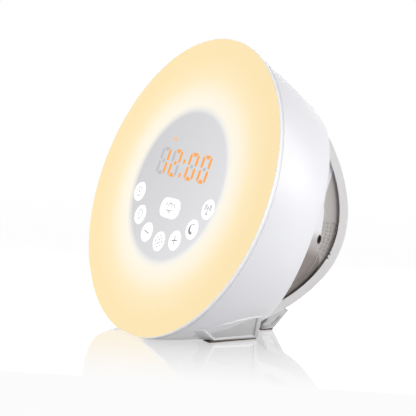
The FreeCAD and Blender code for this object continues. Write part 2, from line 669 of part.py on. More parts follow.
def round_key(label, step):
    edge = "Dims.key_edge"
    web = f"({FLANGE_AT} + Dims.flange_web)"
    cap = turned(label + "_cap", [
        ("0", "Dims.key_proud"), (f"Dims.key_radius - {edge}", "Dims.key_proud"),
        ("Dims.key_radius", f"Dims.key_proud - {edge}"), ("Dims.key_radius", f"-{FLANGE_AT}"),
        ("Dims.key_radius + Dims.key_flange", f"-{FLANGE_AT}"),
        ("Dims.key_radius + Dims.key_flange", f"-{web}"), ("Dims.key_stem", f"-{web}"),
        ("Dims.key_stem", f"-{STEM_END}"), ("0", f"-{STEM_END}")],
        {1: (f"Dims.key_radius - {edge}", f"Dims.key_proud - {edge}", edge)}, tilt=None)
    x, y = key_spot(step)
    place(cap, x if step else "0", y)
    return in_face(label + "_placed", cap)


for key_label, key_step in KEYS:
    node(key_label, round_key(key_label, key_step))


def snooze_key():
    web = f"({FLANGE_AT} + Dims.flange_web)"
    cap = snooze_pad("SnoozeCap", "0", "-Dims.key_proud", FLANGE_AT)
    flange = snooze_pad("SnoozeFlange", "Dims.key_flange", FLANGE_AT, web)
    stem = rods("SnoozeStem", [SNOOZE], "Dims.key_stem", web, STEM_END)
    return in_face("SnoozeKey", union("SnoozeWhole", cap, flange, *stem))


node("snooze_key", snooze_key())

# Lamp

def reflector_tray():
    wall = "Dims.tray_wall"
    ring = "(Dims.shield_radius + Dims.shield_wall)"
    shield_front = "(Dims.lens_thick + Dims.fit_gap)"
    dish = turned("TrayDish", [
        ("0", f"-{TRAY_BACK}"), ("0", "-Dims.tray_depth"),
        ("Dims.shield_radius", "-Dims.tray_depth"), ("Dims.shield_radius", f"-{shield_front}"),
        (ring, f"-{shield_front}"), (ring, "-Dims.tray_depth"),
        (f"Dims.tray_radius - {wall}", "-Dims.tray_depth"),
        (f"Dims.tray_mouth - {wall}", "-Dims.tray_front"), ("Dims.tray_mouth", "-Dims.tray_front"),
        ("Dims.tray_radius", f"-{TRAY_BACK}")])
    posts = in_face("TrayPosts", *rods("SwitchPost", SWITCH_POSTS, "Dims.post_radius",
                                       SWITCH_BACK, TRAY_BACK),
                    *rods("MainPost", MAIN_POSTS, "Dims.post_radius", "Dims.tray_depth",
                          "Dims.main_depth"))
    pilots = rods("SwitchPilot", SWITCH_POSTS, "Dims.screw_radius", f"{SWITCH_BACK} - 1",
                  f"{SWITCH_BACK} + Dims.screw_bite + 1")
    pilots += rods("MainPilot", MAIN_POSTS, "Dims.screw_radius",
                   "Dims.main_depth - Dims.screw_bite - 0.5", "Dims.main_depth + 1")
    pilots += rods("TrayLampHole", LAMP_SCREWS, "Dims.screw_radius + Dims.snug_gap / 2",
                   "Dims.tray_depth - 1", f"{TRAY_BACK} + 1")
    pilots += rods("TrayPinHole", LAMP_PINS, "Dims.lead_radius + Dims.snug_gap",
                   "Dims.tray_depth - 1", f"{TRAY_BACK} + 1")
    pilots.append(centred_box("RibbonSlot", "17", "2", "Dims.tray_depth - 1", f"{TRAY_BACK} + 1",
                              "0", "-5"))
    whole = union("TrayWhole", dish, posts)
    return cut("ReflectorTray", whole, floor_block("TrayFloor", OVER_FLOOR),
               in_face("TrayHoles", *pilots))


node("reflector_tray", reflector_tray())


def drilled_board(name, plate, spots, near, far):
    """A board with a clear hole at each spot."""
    holes = rods(name + "_hole", spots, "Dims.screw_radius + Dims.snug_gap / 2",
                 f"{near} - 1", f"{far} + 1")
    return cut(name, plate, in_face(name + "_holes", *holes))


node("lamp_board", drilled_board("LampBoard", turned("LampRing", [
    ("Dims.lamp_inner", "-Dims.tray_depth"), ("Dims.lamp_inner", f"-{LAMP_FRONT}"),
    ("Dims.lamp_outer", f"-{LAMP_FRONT}"), ("Dims.lamp_outer", "-Dims.tray_depth")]),
    LAMP_SCREWS, LAMP_FRONT, "Dims.tray_depth"))


def lamp_leds():
    leds = []
    for index in range(int(DIM["lamp_count"])):
        turn = f"({index} * 360 / Dims.lamp_count)"
        leds.append(centred_box(f"Lamp{index}", "Dims.lamp_side", "Dims.lamp_side",
                                f"{LAMP_FRONT} - Dims.lamp_thick", LAMP_FRONT,
                                f"Dims.lamp_circle * sin({turn})",
                                f"Dims.lamp_circle * cos({turn})"))
    return in_face("LampLeds", *leds)


node("lamp_leds", lamp_leds())
node("lamp_pins", in_face("LampPins", *rods("LampPin", LAMP_PINS, "Dims.lead_radius",
                                            "Dims.tray_depth", "Dims.main_depth")))


def screws(name, spots, seat, bite, forward=True):
    """A screw at each spot: its head on the seat, its thread beyond it."""
    pieces = []
    for index, (x, y) in enumerate(spots):
        if forward:
            head_near, head_far = f"{seat} - Dims.head_thick", seat
            shank_near, shank_far = f"{seat} - 0.5", f"{seat} + {bite}"
        else:
            head_near, head_far = seat, f"{seat} + Dims.head_thick"
            shank_near, shank_far = f"{seat} - ({bite})", f"{seat} + 0.5"
        head = rods(f"{name}Head{index}", [(x, y)], "Dims.screw_head", head_near, head_far)
        shank = rods(f"{name}Shank{index}", [(x, y)], "Dims.screw_radius - Dims.snug_gap / 2",
                     shank_near, shank_far)
        pieces.append(union(f"{name}{index}", *head, *shank))
    return in_face(name, *pieces)


node("lamp_board_screws", screws("LampScrew", LAMP_SCREWS, LAMP_FRONT,
                                 "(Dims.board_thick + Dims.tray_wall + Dims.ledge_thick)"))

# Clock face

ROUND_BOARD = [("0", f"-{SWITCH_BACK}"), ("0", "-Dims.switch_depth"),
               ("Dims.switch_radius", "-Dims.switch_depth"), ("Dims.switch_radius", f"-{SWITCH_BACK}")]
node("switch_board", drilled_board("SwitchBoard", turned("SwitchDisc", ROUND_BOARD),
                                   SWITCH_POSTS, "Dims.switch_depth", SWITCH_BACK))
node("switch_board_screws", screws("SwitchScrew", SWITCH_POSTS, "Dims.switch_depth",
                                   "(Dims.board_thick + Dims.screw_bite)"))


def key_switches():
    pieces = []
    for index, (x, y) in enumerate([key_spot(step) for _, step in KEYS] + [SNOOZE]):
        case = centred_box(f"SwitchCase{index}", "Dims.switch_side", "Dims.switch_side",
                           SWITCH_TOP, "Dims.switch_depth", x, y)
        plunger = rods(f"Plunger{index}_", [(x, y)], "Dims.plunger_radius", PLUNGER_TOP,
                       f"{SWITCH_TOP} + 0.5")
        pieces.append(union(f"Switch{index}", case, *plunger))
    return in_face("KeySwitches", *pieces)


node("key_switches", key_switches())
node("display_module", in_face("DisplayModule", centred_box(
    "Display", "Dims.display_wide", "Dims.display_high", "Dims.lens_thick + Dims.fit_gap",
    "Dims.switch_depth", "0", "Dims.display_up")))
node("board_ribbon", in_face("BoardRibbon", centred_box(
    "Ribbon", "15", "0.8", SWITCH_BACK, "Dims.main_depth", "0", "-5")))

# Electronics

JACK_X = "(Dims.spine_half - 10.5)"
SPEAKER_X = "-24"
JACK_SPOT = (JACK_X, "-3.6")
SPEAKER_SPOT = (SPEAKER_X, "-Dims.speaker_drop")
LEAD_SPREAD = "1.2"

main_plate = in_face("MainPlate_placed", centred_box(
    "MainPlate", "Dims.main_wide", "Dims.main_high", "Dims.main_depth", MAIN_BACK))
node("main_board", drilled_board("MainBoard", main_plate, MAIN_POSTS, "Dims.main_depth", MAIN_BACK))
node("main_board_screws", screws("MainScrew", MAIN_POSTS, MAIN_BACK,
                                 "Dims.board_thick + Dims.screw_bite - 0.5", forward=False))


def main_board_parts():
    plug_back = f"({MAIN_BACK} + Dims.plug_high)"
    parts = [
        centred_box("Processor", "12", "12", MAIN_BACK, f"{MAIN_BACK} + 1.6", "0", "14"),
        centred_box("Tuner", "8", "8", MAIN_BACK, f"{MAIN_BACK} + 1.4", "-20", "16"),
        centred_box("Regulator", "10", "9", MAIN_BACK, f"{MAIN_BACK} + 2.4", "24", "14"),
        centred_box("PowerPlug", "8", "6", MAIN_BACK, plug_back, *JACK_SPOT),
        centred_box("SpeakerPlug", "8", "6", MAIN_BACK, plug_back, *SPEAKER_SPOT),
    ]
    parts += rods("Capacitor", [("6", "-16"), ("-8", "-16")], "4", MAIN_BACK, f"{MAIN_BACK} + 9")
    return in_face("MainBoardParts", *parts)


node("main_board_parts", main_board_parts())


def power_socket():
    sleeve = cut("SocketSleeve",
                 jack_rod("SocketOutside", "Dims.jack_radius", "Dims.jack_proud", "Dims.jack_length"),
                 jack_rod("SocketBore", "Dims.jack_bore", "Dims.jack_proud + 1",
                          "Dims.jack_length - 2"))
    pin = jack_rod("SocketPin", "Dims.jack_pin", "-1", "Dims.jack_length - 1")
    return in_neck("PowerSocket", union("SocketWhole", sleeve, pin))


node("power_socket", power_socket())


def speaker():
    lip = speaker_rod("SpeakerLip", "Dims.speaker_radius", "Dims.snug_gap", "Dims.speaker_lip")
    basket = speaker_rod("SpeakerBasket", "Dims.basket_radius", "Dims.snug_gap",
                         "Dims.speaker_lip + Dims.basket_deep")
    bowl = speaker_rod("SpeakerBowl", "Dims.basket_radius - 1", "0", "Dims.speaker_lip + 3")
    return cut("SpeakerFrame", union("SpeakerShape", lip, basket), bowl)


node("speaker_frame", in_face("SpeakerFrame_placed", speaker()))
node("speaker_cone", in_face("SpeakerCone_placed", speaker_rod(
    "SpeakerCone", "Dims.basket_radius - 1.2", "Dims.snug_gap + 2", "1")))
node("speaker_magnet", in_face("SpeakerMagnet_placed", speaker_rod(
    "SpeakerMagnet", "Dims.magnet_radius", "Dims.snug_gap + Dims.speaker_lip + Dims.basket_deep",
    "Dims.magnet_thick")))


def leads(name, spot, near, far):
    x, y = spot
    pair = [(f"{x} - {LEAD_SPREAD}", y), (f"{x} + {LEAD_SPREAD}", y)]
    return in_face(name, *rods(name + "_wire", pair, "Dims.lead_radius", near, far))


PLUG_BACK = f"({MAIN_BACK} + Dims.plug_high)"
node("speaker_lead", leads("SpeakerLead", (SPEAKER_X, "-Dims.speaker_drop"), PLUG_BACK,
                           "Dims.speaker_depth - Dims.magnet_radius - 4.6"))
node("power_lead", leads("PowerLead", JACK_SPOT, PLUG_BACK, "Dims.neck_crease - 12"))
node("housing_screws", screws("HousingScrew", BOSSES, FLANGE_BACK,
                              "Dims.flange_thick + Dims.screw_bite", forward=False))


# Feet

def wedge(name, low, high, bottom, top, y_low, y_high):
    """A block whose floor and top outlines differ; x and y ranges are expression pairs."""
    solid = doc.addObject("Part::Wedge", name)
    solid.Placement = Placement(Vector(), Rotation(Vector(1, 0, 0), 90))
    values = {"Xmin": low[0], "Xmax": low[1], "X2min": high[0], "X2max": high[1],
              "Ymin": bottom, "Ymax": top,
              "Zmin": f"-({y_low[1]})", "Zmax": f"-({y_low[0]})",
              "Z2min": f"-({y_high[1]})", "Z2max": f"-({y_high[0]})"}
    for prop, text in values.items():
        setattr(solid, prop, size(text))
    for prop, text in values.items():
        solid.setExpression(prop, text)
    solid.setExpression("Placement.Base.y", "-Dims.centre_back")
    return solid


def mirrored(name, source):
    """The same piece on the other side of the clock."""
    mirror = doc.addObject("Part::Mirroring", name)
    mirror.Source = source
    mirror.Normal = Vector(1, 0, 0)
    return mirror


RIM = "Dims.pocket_rim"
POCKET_LOW = "(Dims.base_lift + Dims.pocket_base)"


def front_foot():
    rise = "(Dims.foot_top - Dims.base_lift)"
    block = wedge("FootBlock", ("Dims.foot_inner", "Dims.foot_low"), ("Dims.foot_inner", "Dims.foot_high"),
                  "Dims.base_lift", "Dims.foot_top", ("Dims.foot_front_low", "Dims.foot_back_low"),
                  ("Dims.foot_front_high", "Dims.foot_back_high"))
    pocket = wedge("FootPocket", (f"Dims.foot_low - Dims.pocket_deep", "Dims.foot_high + 20"),
                   (f"Dims.foot_high - Dims.pocket_deep", "Dims.foot_high + 20"),
                   "Dims.base_lift", "Dims.foot_top",
                   (f"Dims.foot_front_low + {RIM}", f"Dims.foot_back_low - {RIM}"),
                   (f"Dims.foot_front_high + {RIM}", f"Dims.foot_back_high - {RIM}"))
    pocket = cut("FootRecess", pocket, floor_block("FootRecessFloor", POCKET_LOW),
                 dome("FootCrest", "-Dims.crest", "-8", "100"))
    shaped = cut("FootShaped", block, dome("FootBed", "-Dims.snug_gap", "-8", "100"), pocket)
    pegs = peg_rods("FootPeg", FRONT_PEGS, "Dims.peg_radius", "Dims.base_lift", "Dims.peg_top")
    return union("FrontFoot", shaped, *pegs)


right_foot = node("right_front_foot", front_foot())
node("left_front_foot", mirrored("LeftFoot", right_foot))


def rear_foot():
    block = wedge("HeelBlock", ("-Dims.heel_low", "Dims.heel_low"), ("-Dims.heel_high", "Dims.heel_high"),
                  "Dims.base_lift", "Dims.heel_top", ("Dims.heel_front", "Dims.heel_back_low"),
                  ("Dims.heel_front", "Dims.heel_back_high"))
    pocket = wedge("HeelPocket", ("Dims.heel_low - Dims.pocket_deep", "Dims.heel_high + 20"),
                   ("Dims.heel_high - Dims.pocket_deep", "Dims.heel_high + 20"),
                   "Dims.base_lift", "Dims.heel_top",
                   ("Dims.heel_front - 9", f"Dims.heel_back_low - {RIM} * 0.75"),
                   ("Dims.heel_front - 9", f"Dims.heel_back_high - {RIM} * 0.75"))
    recess = cut("HeelRecess", pocket, floor_block("HeelRecessFloor", POCKET_LOW),
                 capped_dome("HeelCrest", "Dims.spine_inset - Dims.crest", "-8"))
    bed = capped_dome("HeelBed", "Dims.spine_inset - Dims.snug_gap", "-8")
    shaped = cut("HeelShaped", block, bed, recess, mirrored("HeelRecessLeft", recess))
    pegs = peg_rods("HeelPeg", HEEL_PEGS, "Dims.peg_radius", "Dims.base_lift", "Dims.heel_peg_top")
    return union("RearFoot", shaped, *pegs)


node("rear_foot", rear_foot())


def pad(name, x_range, y_range):
    """A flat pad under a foot, a little inside its outline."""
    inset = "Dims.pad_inset"
    return box(name, (f"({x_range[1]}) - ({x_range[0]}) - 2 * {inset}",
                      f"({y_range[1]}) - ({y_range[0]}) - 2 * {inset}", "Dims.base_lift"),
               (f"({x_range[0]}) + {inset}", f"({y_range[0]}) + {inset} - Dims.centre_back", "0"))


right_pad = node("right_front_pad", pad("RightPad", ("Dims.foot_inner", "Dims.foot_low"),
                                        ("Dims.foot_front_low", "Dims.foot_back_low")))
node("left_front_pad", mirrored("LeftPad", right_pad))
node("rear_pad", pad("RearPad", ("-Dims.heel_low", "Dims.heel_low"),
                     ("Dims.heel_front", "Dims.heel_back_low")))

# Build, check and export

doc.recompute()
problems = []
for obj in doc.Objects:
    if "Invalid" in obj.State or "Error" in obj.State:
        problems.append(f"{obj.Name} {obj.State}")
os.makedirs("parts", exist_ok=True)
for piece in NODES:
    shape = piece.Shape
    if shape.isNull() or not shape.isValid() or not shape.Solids:
        problems.append(f"{piece.Label} has no valid solid")
        continue
    shape.exportStep(f"parts/{piece.Label}.step")
    bounds = shape.BoundBox
    print(f"{piece.Label:20s} solids {len(shape.Solids):3d} volume {shape.Volume:10.1f}"
          f"  x {bounds.XMin:7.2f} {bounds.XMax:7.2f}  y {bounds.YMin:7.2f} {bounds.YMax:7.2f}"
          f"  z {bounds.ZMin:7.2f} {bounds.ZMax:7.2f}")
print(len(NODES), "nodes")
if problems:
    raise RuntimeError("; ".join(problems[:12]))
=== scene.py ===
# %% [markdown]
# A sunrise alarm clock is a round lamp that leans back on small feet. A frosted disc in
# front is lit from behind, a grey clock face sits in its middle, and a glossy white dome
# closes it behind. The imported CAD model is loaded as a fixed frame, and every new surface
# is worked out in the same metres, so nothing has to be fitted by eye.

# %% Load the frame
import math

import bmesh
import bpy
import numpy as np
from mathutils import Matrix, Vector


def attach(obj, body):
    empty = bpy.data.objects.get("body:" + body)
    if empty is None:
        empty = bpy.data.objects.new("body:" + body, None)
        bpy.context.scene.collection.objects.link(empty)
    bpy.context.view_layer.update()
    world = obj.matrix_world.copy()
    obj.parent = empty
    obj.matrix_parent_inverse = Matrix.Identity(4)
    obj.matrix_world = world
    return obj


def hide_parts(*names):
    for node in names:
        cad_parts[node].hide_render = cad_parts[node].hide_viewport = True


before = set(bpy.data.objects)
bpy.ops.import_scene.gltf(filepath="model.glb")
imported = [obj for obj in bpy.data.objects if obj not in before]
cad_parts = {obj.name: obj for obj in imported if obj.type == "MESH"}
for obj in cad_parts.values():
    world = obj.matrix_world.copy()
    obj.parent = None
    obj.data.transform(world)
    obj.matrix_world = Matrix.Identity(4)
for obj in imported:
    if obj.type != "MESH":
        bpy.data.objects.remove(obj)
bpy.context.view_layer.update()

# %% [markdown]
# Nearly everything on this clock is round about one line: the axis that leaves the middle
# of the face. So the shapes are worked out in the face's own millimetres, across, up and
# out of the face, and one function carries them into the room.

# %% The face's own coordinates
MM = 0.001
TILT = math.radians(18.35)
MIDDLE = np.array([0.0, -0.0399, 0.086])
ACROSS = np.array([1.0, 0.0, 0.0])
UP = np.array([0.0, math.sin(TILT), math.cos(TILT)])
OUT = np.array([0.0, -math.cos(TILT), math.sin(TILT)])
FLAT_BASE = 0.001


def to_room(across, up, out):
    """Face millimetres to room metres: the middle plus each coordinate along its direction."""
    across, up, out = np.broadcast_arrays(across, up, out)
    offset = across[..., None] * ACROSS + up[..., None] * UP + out[..., None] * OUT
    return MIDDLE + MM * offset


def to_face(points):
    """Room metres to face millimetres: the offset from the middle along each direction."""
    offset = (points - MIDDLE) / MM
    return offset @ ACROSS, offset @ UP, offset @ OUT


print("the face leans back", round(math.degrees(TILT), 2), "degrees")


# %% [markdown]
# A surface of two parameters is a grid of points. Joining each point to its neighbours
# gives four-sided faces, and a grid that closes on itself, like a ring, joins its last
# row to its first. One helper turns any grid into a smooth mesh, so that each shape
# below is only its formula.

# %% Grids into meshes
def grid_faces(rows, columns, close_rows):
    """Indices of the quads of a grid whose columns, and maybe its rows, close into a ring."""
    r = np.arange(rows if close_rows else rows - 1)
    r, c = np.meshgrid(r, np.arange(columns), indexing="ij")
    r_next, c_next = (r + 1) % rows, (c + 1) % columns
    corners = [r * columns + c, r_next * columns + c, r_next * columns + c_next,
               r * columns + c_next]
    return np.stack(corners, axis=-1).reshape(-1, 4)


def link_object(name, data):
    """A new object that holds some data, put into the scene."""
    obj = bpy.data.objects.new(name, data)
    bpy.context.scene.collection.objects.link(obj)
    return obj


def make_object(name, points, faces):
    """A mesh object from an array of points and a list of faces."""
    mesh = bpy.data.meshes.new(name)
    mesh.from_pydata(points.reshape(-1, 3).tolist(), [], faces)
    return link_object(name, mesh)


def shade_smooth(mesh, sharp_degrees):
    """Shade smooth, with sharp edges where the surface turns by more than an angle."""
    mesh.polygons.foreach_set("use_smooth", np.ones(len(mesh.polygons), bool))
    mesh.set_sharp_from_angle(angle=math.radians(sharp_degrees))


def close_up(obj, sharp_degrees=35.0, merge=2e-6):
    """Merge doubled points, turn the faces outward and shade smooth up to an angle."""
    work = bmesh.new()
    work.from_mesh(obj.data)
    bmesh.ops.remove_doubles(work, verts=work.verts, dist=merge)
    bmesh.ops.dissolve_degenerate(work, edges=work.edges, dist=merge / 2)
    bmesh.ops.recalc_face_normals(work, faces=work.faces)
    work.to_mesh(obj.data)
    work.free()
    shade_smooth(obj.data, sharp_degrees)
    return obj


def grid_object(name, points, close_rows=True, sharp_degrees=35.0):
    """A closed and smooth mesh object from a grid of points."""
    faces = grid_faces(*points.shape[:2], close_rows).tolist()
    return close_up(make_object(name, points, faces), sharp_degrees)


def finish_piece(obj, material, body):
    """Give a piece its material and its body."""
    obj.data.materials.clear()
    obj.data.materials.append(material)
    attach(obj, body)
    return obj


# %% [markdown]
# Moulded plastic is never one flat colour. It has a fine grain that breaks up its gloss,
# a faint waviness left by the mould, and slight changes of tone. All the plastics here
# share one node group for that, each with its own amounts, and the shader stays in the
# material so that its gloss can be set by itself.

# %% A shared node group for moulded surfaces
def add_node(tree, kind, **settings):
    """A new node with its settings: inputs by name, and anything else as an attribute."""
    made = tree.nodes.new(kind)
    for key, value in settings.items():
        if key in made.inputs:
            made.inputs[key].default_value = value
        else:
            setattr(made, key, value)
    return made


def feed(tree, socket, value):
    """Link a socket to another one, or give it a plain value."""
    if isinstance(value, bpy.types.NodeSocket):
        tree.links.new(value, socket)
    else:
        socket.default_value = value


def calculate(tree, operation, *values):
    """The result of one sum on values that are sockets or plain numbers."""
    made = add_node(tree, "ShaderNodeMath", operation=operation)
    for socket, value in zip(made.inputs, values):
        feed(tree, socket, value)
    return made.outputs[0]


def scaled(tree, colour, amount):
    """A colour times an amount."""
    made = add_node(tree, "ShaderNodeVectorMath", operation="SCALE")
    feed(tree, made.inputs[0], colour)
    feed(tree, made.inputs["Scale"], amount)
    return made.outputs[0]


def measured(tree, operation, vector, other=(0, 0, 0)):
    """One number from a vector: its length, or its dot product with another."""
    made = add_node(tree, "ShaderNodeVectorMath", operation=operation)
    feed(tree, made.inputs[0], vector)
    made.inputs[1].default_value = other
    return made.outputs["Value"]


def map_range(tree, value, limits, clamp=True):
    """A value carried from one range onto another. The limits are both of each, in order."""
    made = add_node(tree, "ShaderNodeMapRange", clamp=clamp)
    for socket, limit in zip(made.inputs[1:5], limits):
        socket.default_value = limit
    feed(tree, made.inputs["Value"], value)
    return made.outputs[0]


def colour_ramp(tree, factor, stops, interpolation):
    """The colour at a factor on a ramp through stops of (place, screen colour)."""
    ramp = tree.nodes.new("ShaderNodeValToRGB")
    ramp.color_ramp.interpolation = interpolation
    elements = ramp.color_ramp.elements
    while len(elements) < len(stops):
        elements.new(0.5)
    for element, (place, colour) in zip(elements, stops):
        element.position = place
        element.color = srgb(*colour)
    feed(tree, ramp.inputs["Fac"], factor)
    return ramp.outputs["Color"]


def new_material(name):
    """A material, its node tree and its shader."""
    material = bpy.data.materials.new(name)
    material.use_nodes = True
    tree = material.node_tree
    return material, tree, tree.nodes["Principled BSDF"]


def moulded_group():
    """Colour, roughness and normal that vary over the surface, from the piece's own place."""
    tree = bpy.data.node_groups.new("Moulded surface", "ShaderNodeTree")
    new_socket = tree.interface.new_socket
    new_socket("Colour", in_out="INPUT", socket_type="NodeSocketColor")
    for name, value in (("Tone", 0.03), ("Grain Size", 900.0), ("Roughness", 0.3),
                        ("Roughness Spread", 0.05), ("Grain Depth", 0.05), ("Wave Depth", 0.02)):
        new_socket(name, in_out="INPUT", socket_type="NodeSocketFloat").default_value = value
    for name, kind in (("Colour", "Color"), ("Roughness", "Float"), ("Normal", "Vector")):
        new_socket(name, in_out="OUTPUT", socket_type="NodeSocket" + kind)
    source = tree.nodes.new("NodeGroupInput")
    result = tree.nodes.new("NodeGroupOutput")
    place = tree.nodes.new("ShaderNodeTexCoord")
    grain = add_node(tree, "ShaderNodeTexNoise", Detail=3.0, Roughness=0.6)
    broad = add_node(tree, "ShaderNodeTexNoise", Scale=22.0, Detail=2.0)
    wave = add_node(tree, "ShaderNodeTexNoise", Scale=60.0, Detail=1.0)
    link = tree.links.new
    for noise in (grain, broad, wave):
        link(place.outputs["Object"], noise.inputs["Vector"])
    link(source.outputs["Grain Size"], grain.inputs["Scale"])

    centred = calculate(tree, "SUBTRACT", broad.outputs["Fac"], 0.5)
    toned = calculate(tree, "MULTIPLY_ADD", centred, source.outputs["Tone"], 1.0)
    link(scaled(tree, source.outputs["Colour"], toned), result.inputs["Colour"])
    spread = calculate(tree, "MULTIPLY_ADD", grain.outputs["Fac"],
                       source.outputs["Roughness Spread"], source.outputs["Roughness"])
    link(spread, result.inputs["Roughness"])

    fine = add_node(tree, "ShaderNodeBump", Distance=0.00006)
    link(grain.outputs["Fac"], fine.inputs["Height"])
    link(source.outputs["Grain Depth"], fine.inputs["Strength"])
    coarse = add_node(tree, "ShaderNodeBump", Distance=0.0004)
    link(wave.outputs["Fac"], coarse.inputs["Height"])
    link(source.outputs["Wave Depth"], coarse.inputs["Strength"])
    link(fine.outputs["Normal"], coarse.inputs["Normal"])
    link(coarse.outputs["Normal"], result.inputs["Normal"])
    return tree


MOULDED = moulded_group()


def srgb(red, green, blue):
    """A colour named in the 0 to 255 steps of a screen, as the linear values of a shader."""
    values = np.array([red, green, blue]) / 255.0
    linear = np.where(values <= 0.04045, values / 12.92, ((values + 0.055) / 1.055) ** 2.4)
    return (*linear.tolist(), 1.0)


def moulded(name, colour, gloss=None, **amounts):
    """A material whose colour, roughness and normal come from the shared group."""
    material, tree, shader = new_material(name)
    surface = tree.nodes.new("ShaderNodeGroup")
    surface.node_tree = MOULDED
    surface.inputs["Colour"].default_value = colour
    for key, value in amounts.items():
        surface.inputs[key.replace("_", " ").title()].default_value = value
    for ours, theirs in (("Colour", "Base Color"), ("Roughness", "Roughness"),
                         ("Normal", "Normal")):
        tree.links.new(surface.outputs[ours], shader.inputs[theirs])
    for key, value in (gloss or {}).items():
        shader.inputs[key].default_value = value
    return material


def glow_and_paint(name, colour, strength, share=0.15):
    """Part its own light, part paint: real backlight for the display, painted light for the icons.
    """
    paint = tuple(share * v for v in colour[:3]) + (1.0,)
    material = moulded(name, paint, roughness=0.55, grain_depth=0.0, wave_depth=0.0, tone=0.0)
    shader = material.node_tree.nodes["Principled BSDF"]
    shader.inputs["Emission Color"].default_value = colour
    shader.inputs["Emission Strength"].default_value = strength
    return material


glossy_white = moulded(
    "Glossy white moulding", srgb(236, 236, 240),
    {"Coat Weight": 0.5, "Coat Roughness": 0.3, "IOR": 1.5},
    roughness=0.3, roughness_spread=0.06, grain_depth=0.03, wave_depth=0.01, tone=0.015)
satin_white = moulded(
    "Satin white moulding", srgb(214, 212, 212), {"IOR": 1.48},
    roughness=0.38, roughness_spread=0.1, grain_depth=0.12, wave_depth=0.01, tone=0.03)
foot_white = moulded(
    "Satin foot moulding", srgb(222, 221, 222), {"IOR": 1.48},
    roughness=0.36, roughness_spread=0.1, grain_depth=0.1, wave_depth=0.01, tone=0.03)
# The keys give off some white light of their own, which is painted light: they are no lamp.
glowing_key_white = moulded(
    "Satin key with painted glow", srgb(244, 244, 245),
    {"IOR": 1.45, "Emission Color": srgb(255, 255, 255), "Emission Strength": 0.5},
    roughness=0.45, roughness_spread=0.08, grain_depth=0.06, wave_depth=0.0, tone=0.01)
pad_rubber = moulded(
    "Pad rubber", srgb(84, 72, 64), {"IOR": 1.45},
    roughness=0.7, roughness_spread=0.2, grain_depth=0.5, wave_depth=0.0, tone=0.2)
print(len(bpy.data.materials), "plastics share", MOULDED.name)

# %% [markdown]
# The shell is a dome: one arc turned about the face's axis. Behind, it is cut along a
# curve that swings forward at the sides, and it has a flat underside. A dome this glossy
# shows every facet, so it is computed finely: for each angle round the axis, a closed
# path runs from the front edge back to the cut, over the rim, and forward again inside.

# %% The dome and its shell
ARC, ARC_OUT, ARC_FORE = 165.4, 72.9, 21.45
PART_ARC, PART_DEPTH, PART_UP = 158.4, 203.0, 2.0
SHELL_FRONT, SHELL_WALL = 2.55, 2.5
LIP, LIP_CORNER = 0.35, 0.1
ANGLES = 480


def dome_radius(depth, inset=0.0):
    """Radius of the dome: a circle of radius ARC about a point beyond and before the face."""
    return np.sqrt((ARC - inset) ** 2 - (depth + ARC_FORE) ** 2) - ARC_OUT


def cut_depth(angle, inset):
    """Depth where the dome meets the cutting cylinder, by repeated substitution."""
    depth = np.full_like(angle, 50.0)
    for _ in range(40):
        up = dome_radius(depth, inset) * np.cos(angle)
        depth = PART_DEPTH - np.sqrt(PART_ARC ** 2 - (up - PART_UP) ** 2)
    return depth


def shell_skin():
    """Grid of (path point, angle): out to the cut, over the rim and back inside."""
    angle = np.linspace(0, 2 * np.pi, ANGLES, endpoint=False)
    outer_end, inner_end = cut_depth(angle, 0.0), cut_depth(angle, SHELL_WALL)
    outer_run, inner_run = outer_end - LIP - SHELL_FRONT, inner_end - LIP - SHELL_FRONT
    path = [(SHELL_FRONT + share * outer_run, 0.0) for share in np.linspace(0, 1, 56)]
    path += [(outer_end - LIP_CORNER, LIP_CORNER), (outer_end, LIP),
             (inner_end, SHELL_WALL - LIP), (inner_end - LIP_CORNER, SHELL_WALL - LIP_CORNER)]
    path += [(SHELL_FRONT + share * inner_run, SHELL_WALL) for share in np.linspace(1, 0, 24)]
    rows = []
    for depth, inset in path:
        radius = dome_radius(depth, inset)
        row = to_room(radius * np.sin(angle), radius * np.cos(angle), -depth)
        floor = FLAT_BASE if inset < 1.0 else FLAT_BASE + MM * SHELL_WALL
        row[:, 2] = np.maximum(row[:, 2], floor)
        rows.append(row)
    return np.stack(rows)


shell = grid_object("dome_shell", shell_skin(), sharp_degrees=50)
finish_piece(shell, glossy_white, "clock_body")
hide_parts("bowl_shell")
print("dome_shell", len(shell.data.polygons), "faces")

# %% [markdown]
# The rear housing is a spine with a recess on each side, and its CAD shape is right. It
# is loose triangles, which a smooth shader would show as facets, so a copy of it is
# merged and shaded smooth up to its real edges. Its vents are fine holes, which from this
# distance look too black, so the copy has shallow dimples in their place.

# %% Merged copies of CAD pieces
CAD_SHARP = 28
VENT_DEPTH, VENT_UP = 50.5, -1.0
VENT_COUNT, VENT_PITCH, VENT_HOLE = 9, 3.7, 0.6
VENT_OUTER, VENT_STEP = 43.4, 2.8
DIMPLES = (0.0, 0.45, 0.45, 0.45, 0.45)


def merged_copy(node, name, material):
    """A copy of a CAD node, with its doubled points merged and its faces smooth."""
    copy = link_object(name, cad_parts[node].data.copy())
    work = bmesh.new()
    work.from_mesh(copy.data)
    bmesh.ops.remove_doubles(work, verts=work.verts, dist=3e-6)
    work.to_mesh(copy.data)
    work.free()
    shade_smooth(copy.data, CAD_SHARP)
    finish_piece(copy, material, "clock_body")
    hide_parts(node)
    return copy


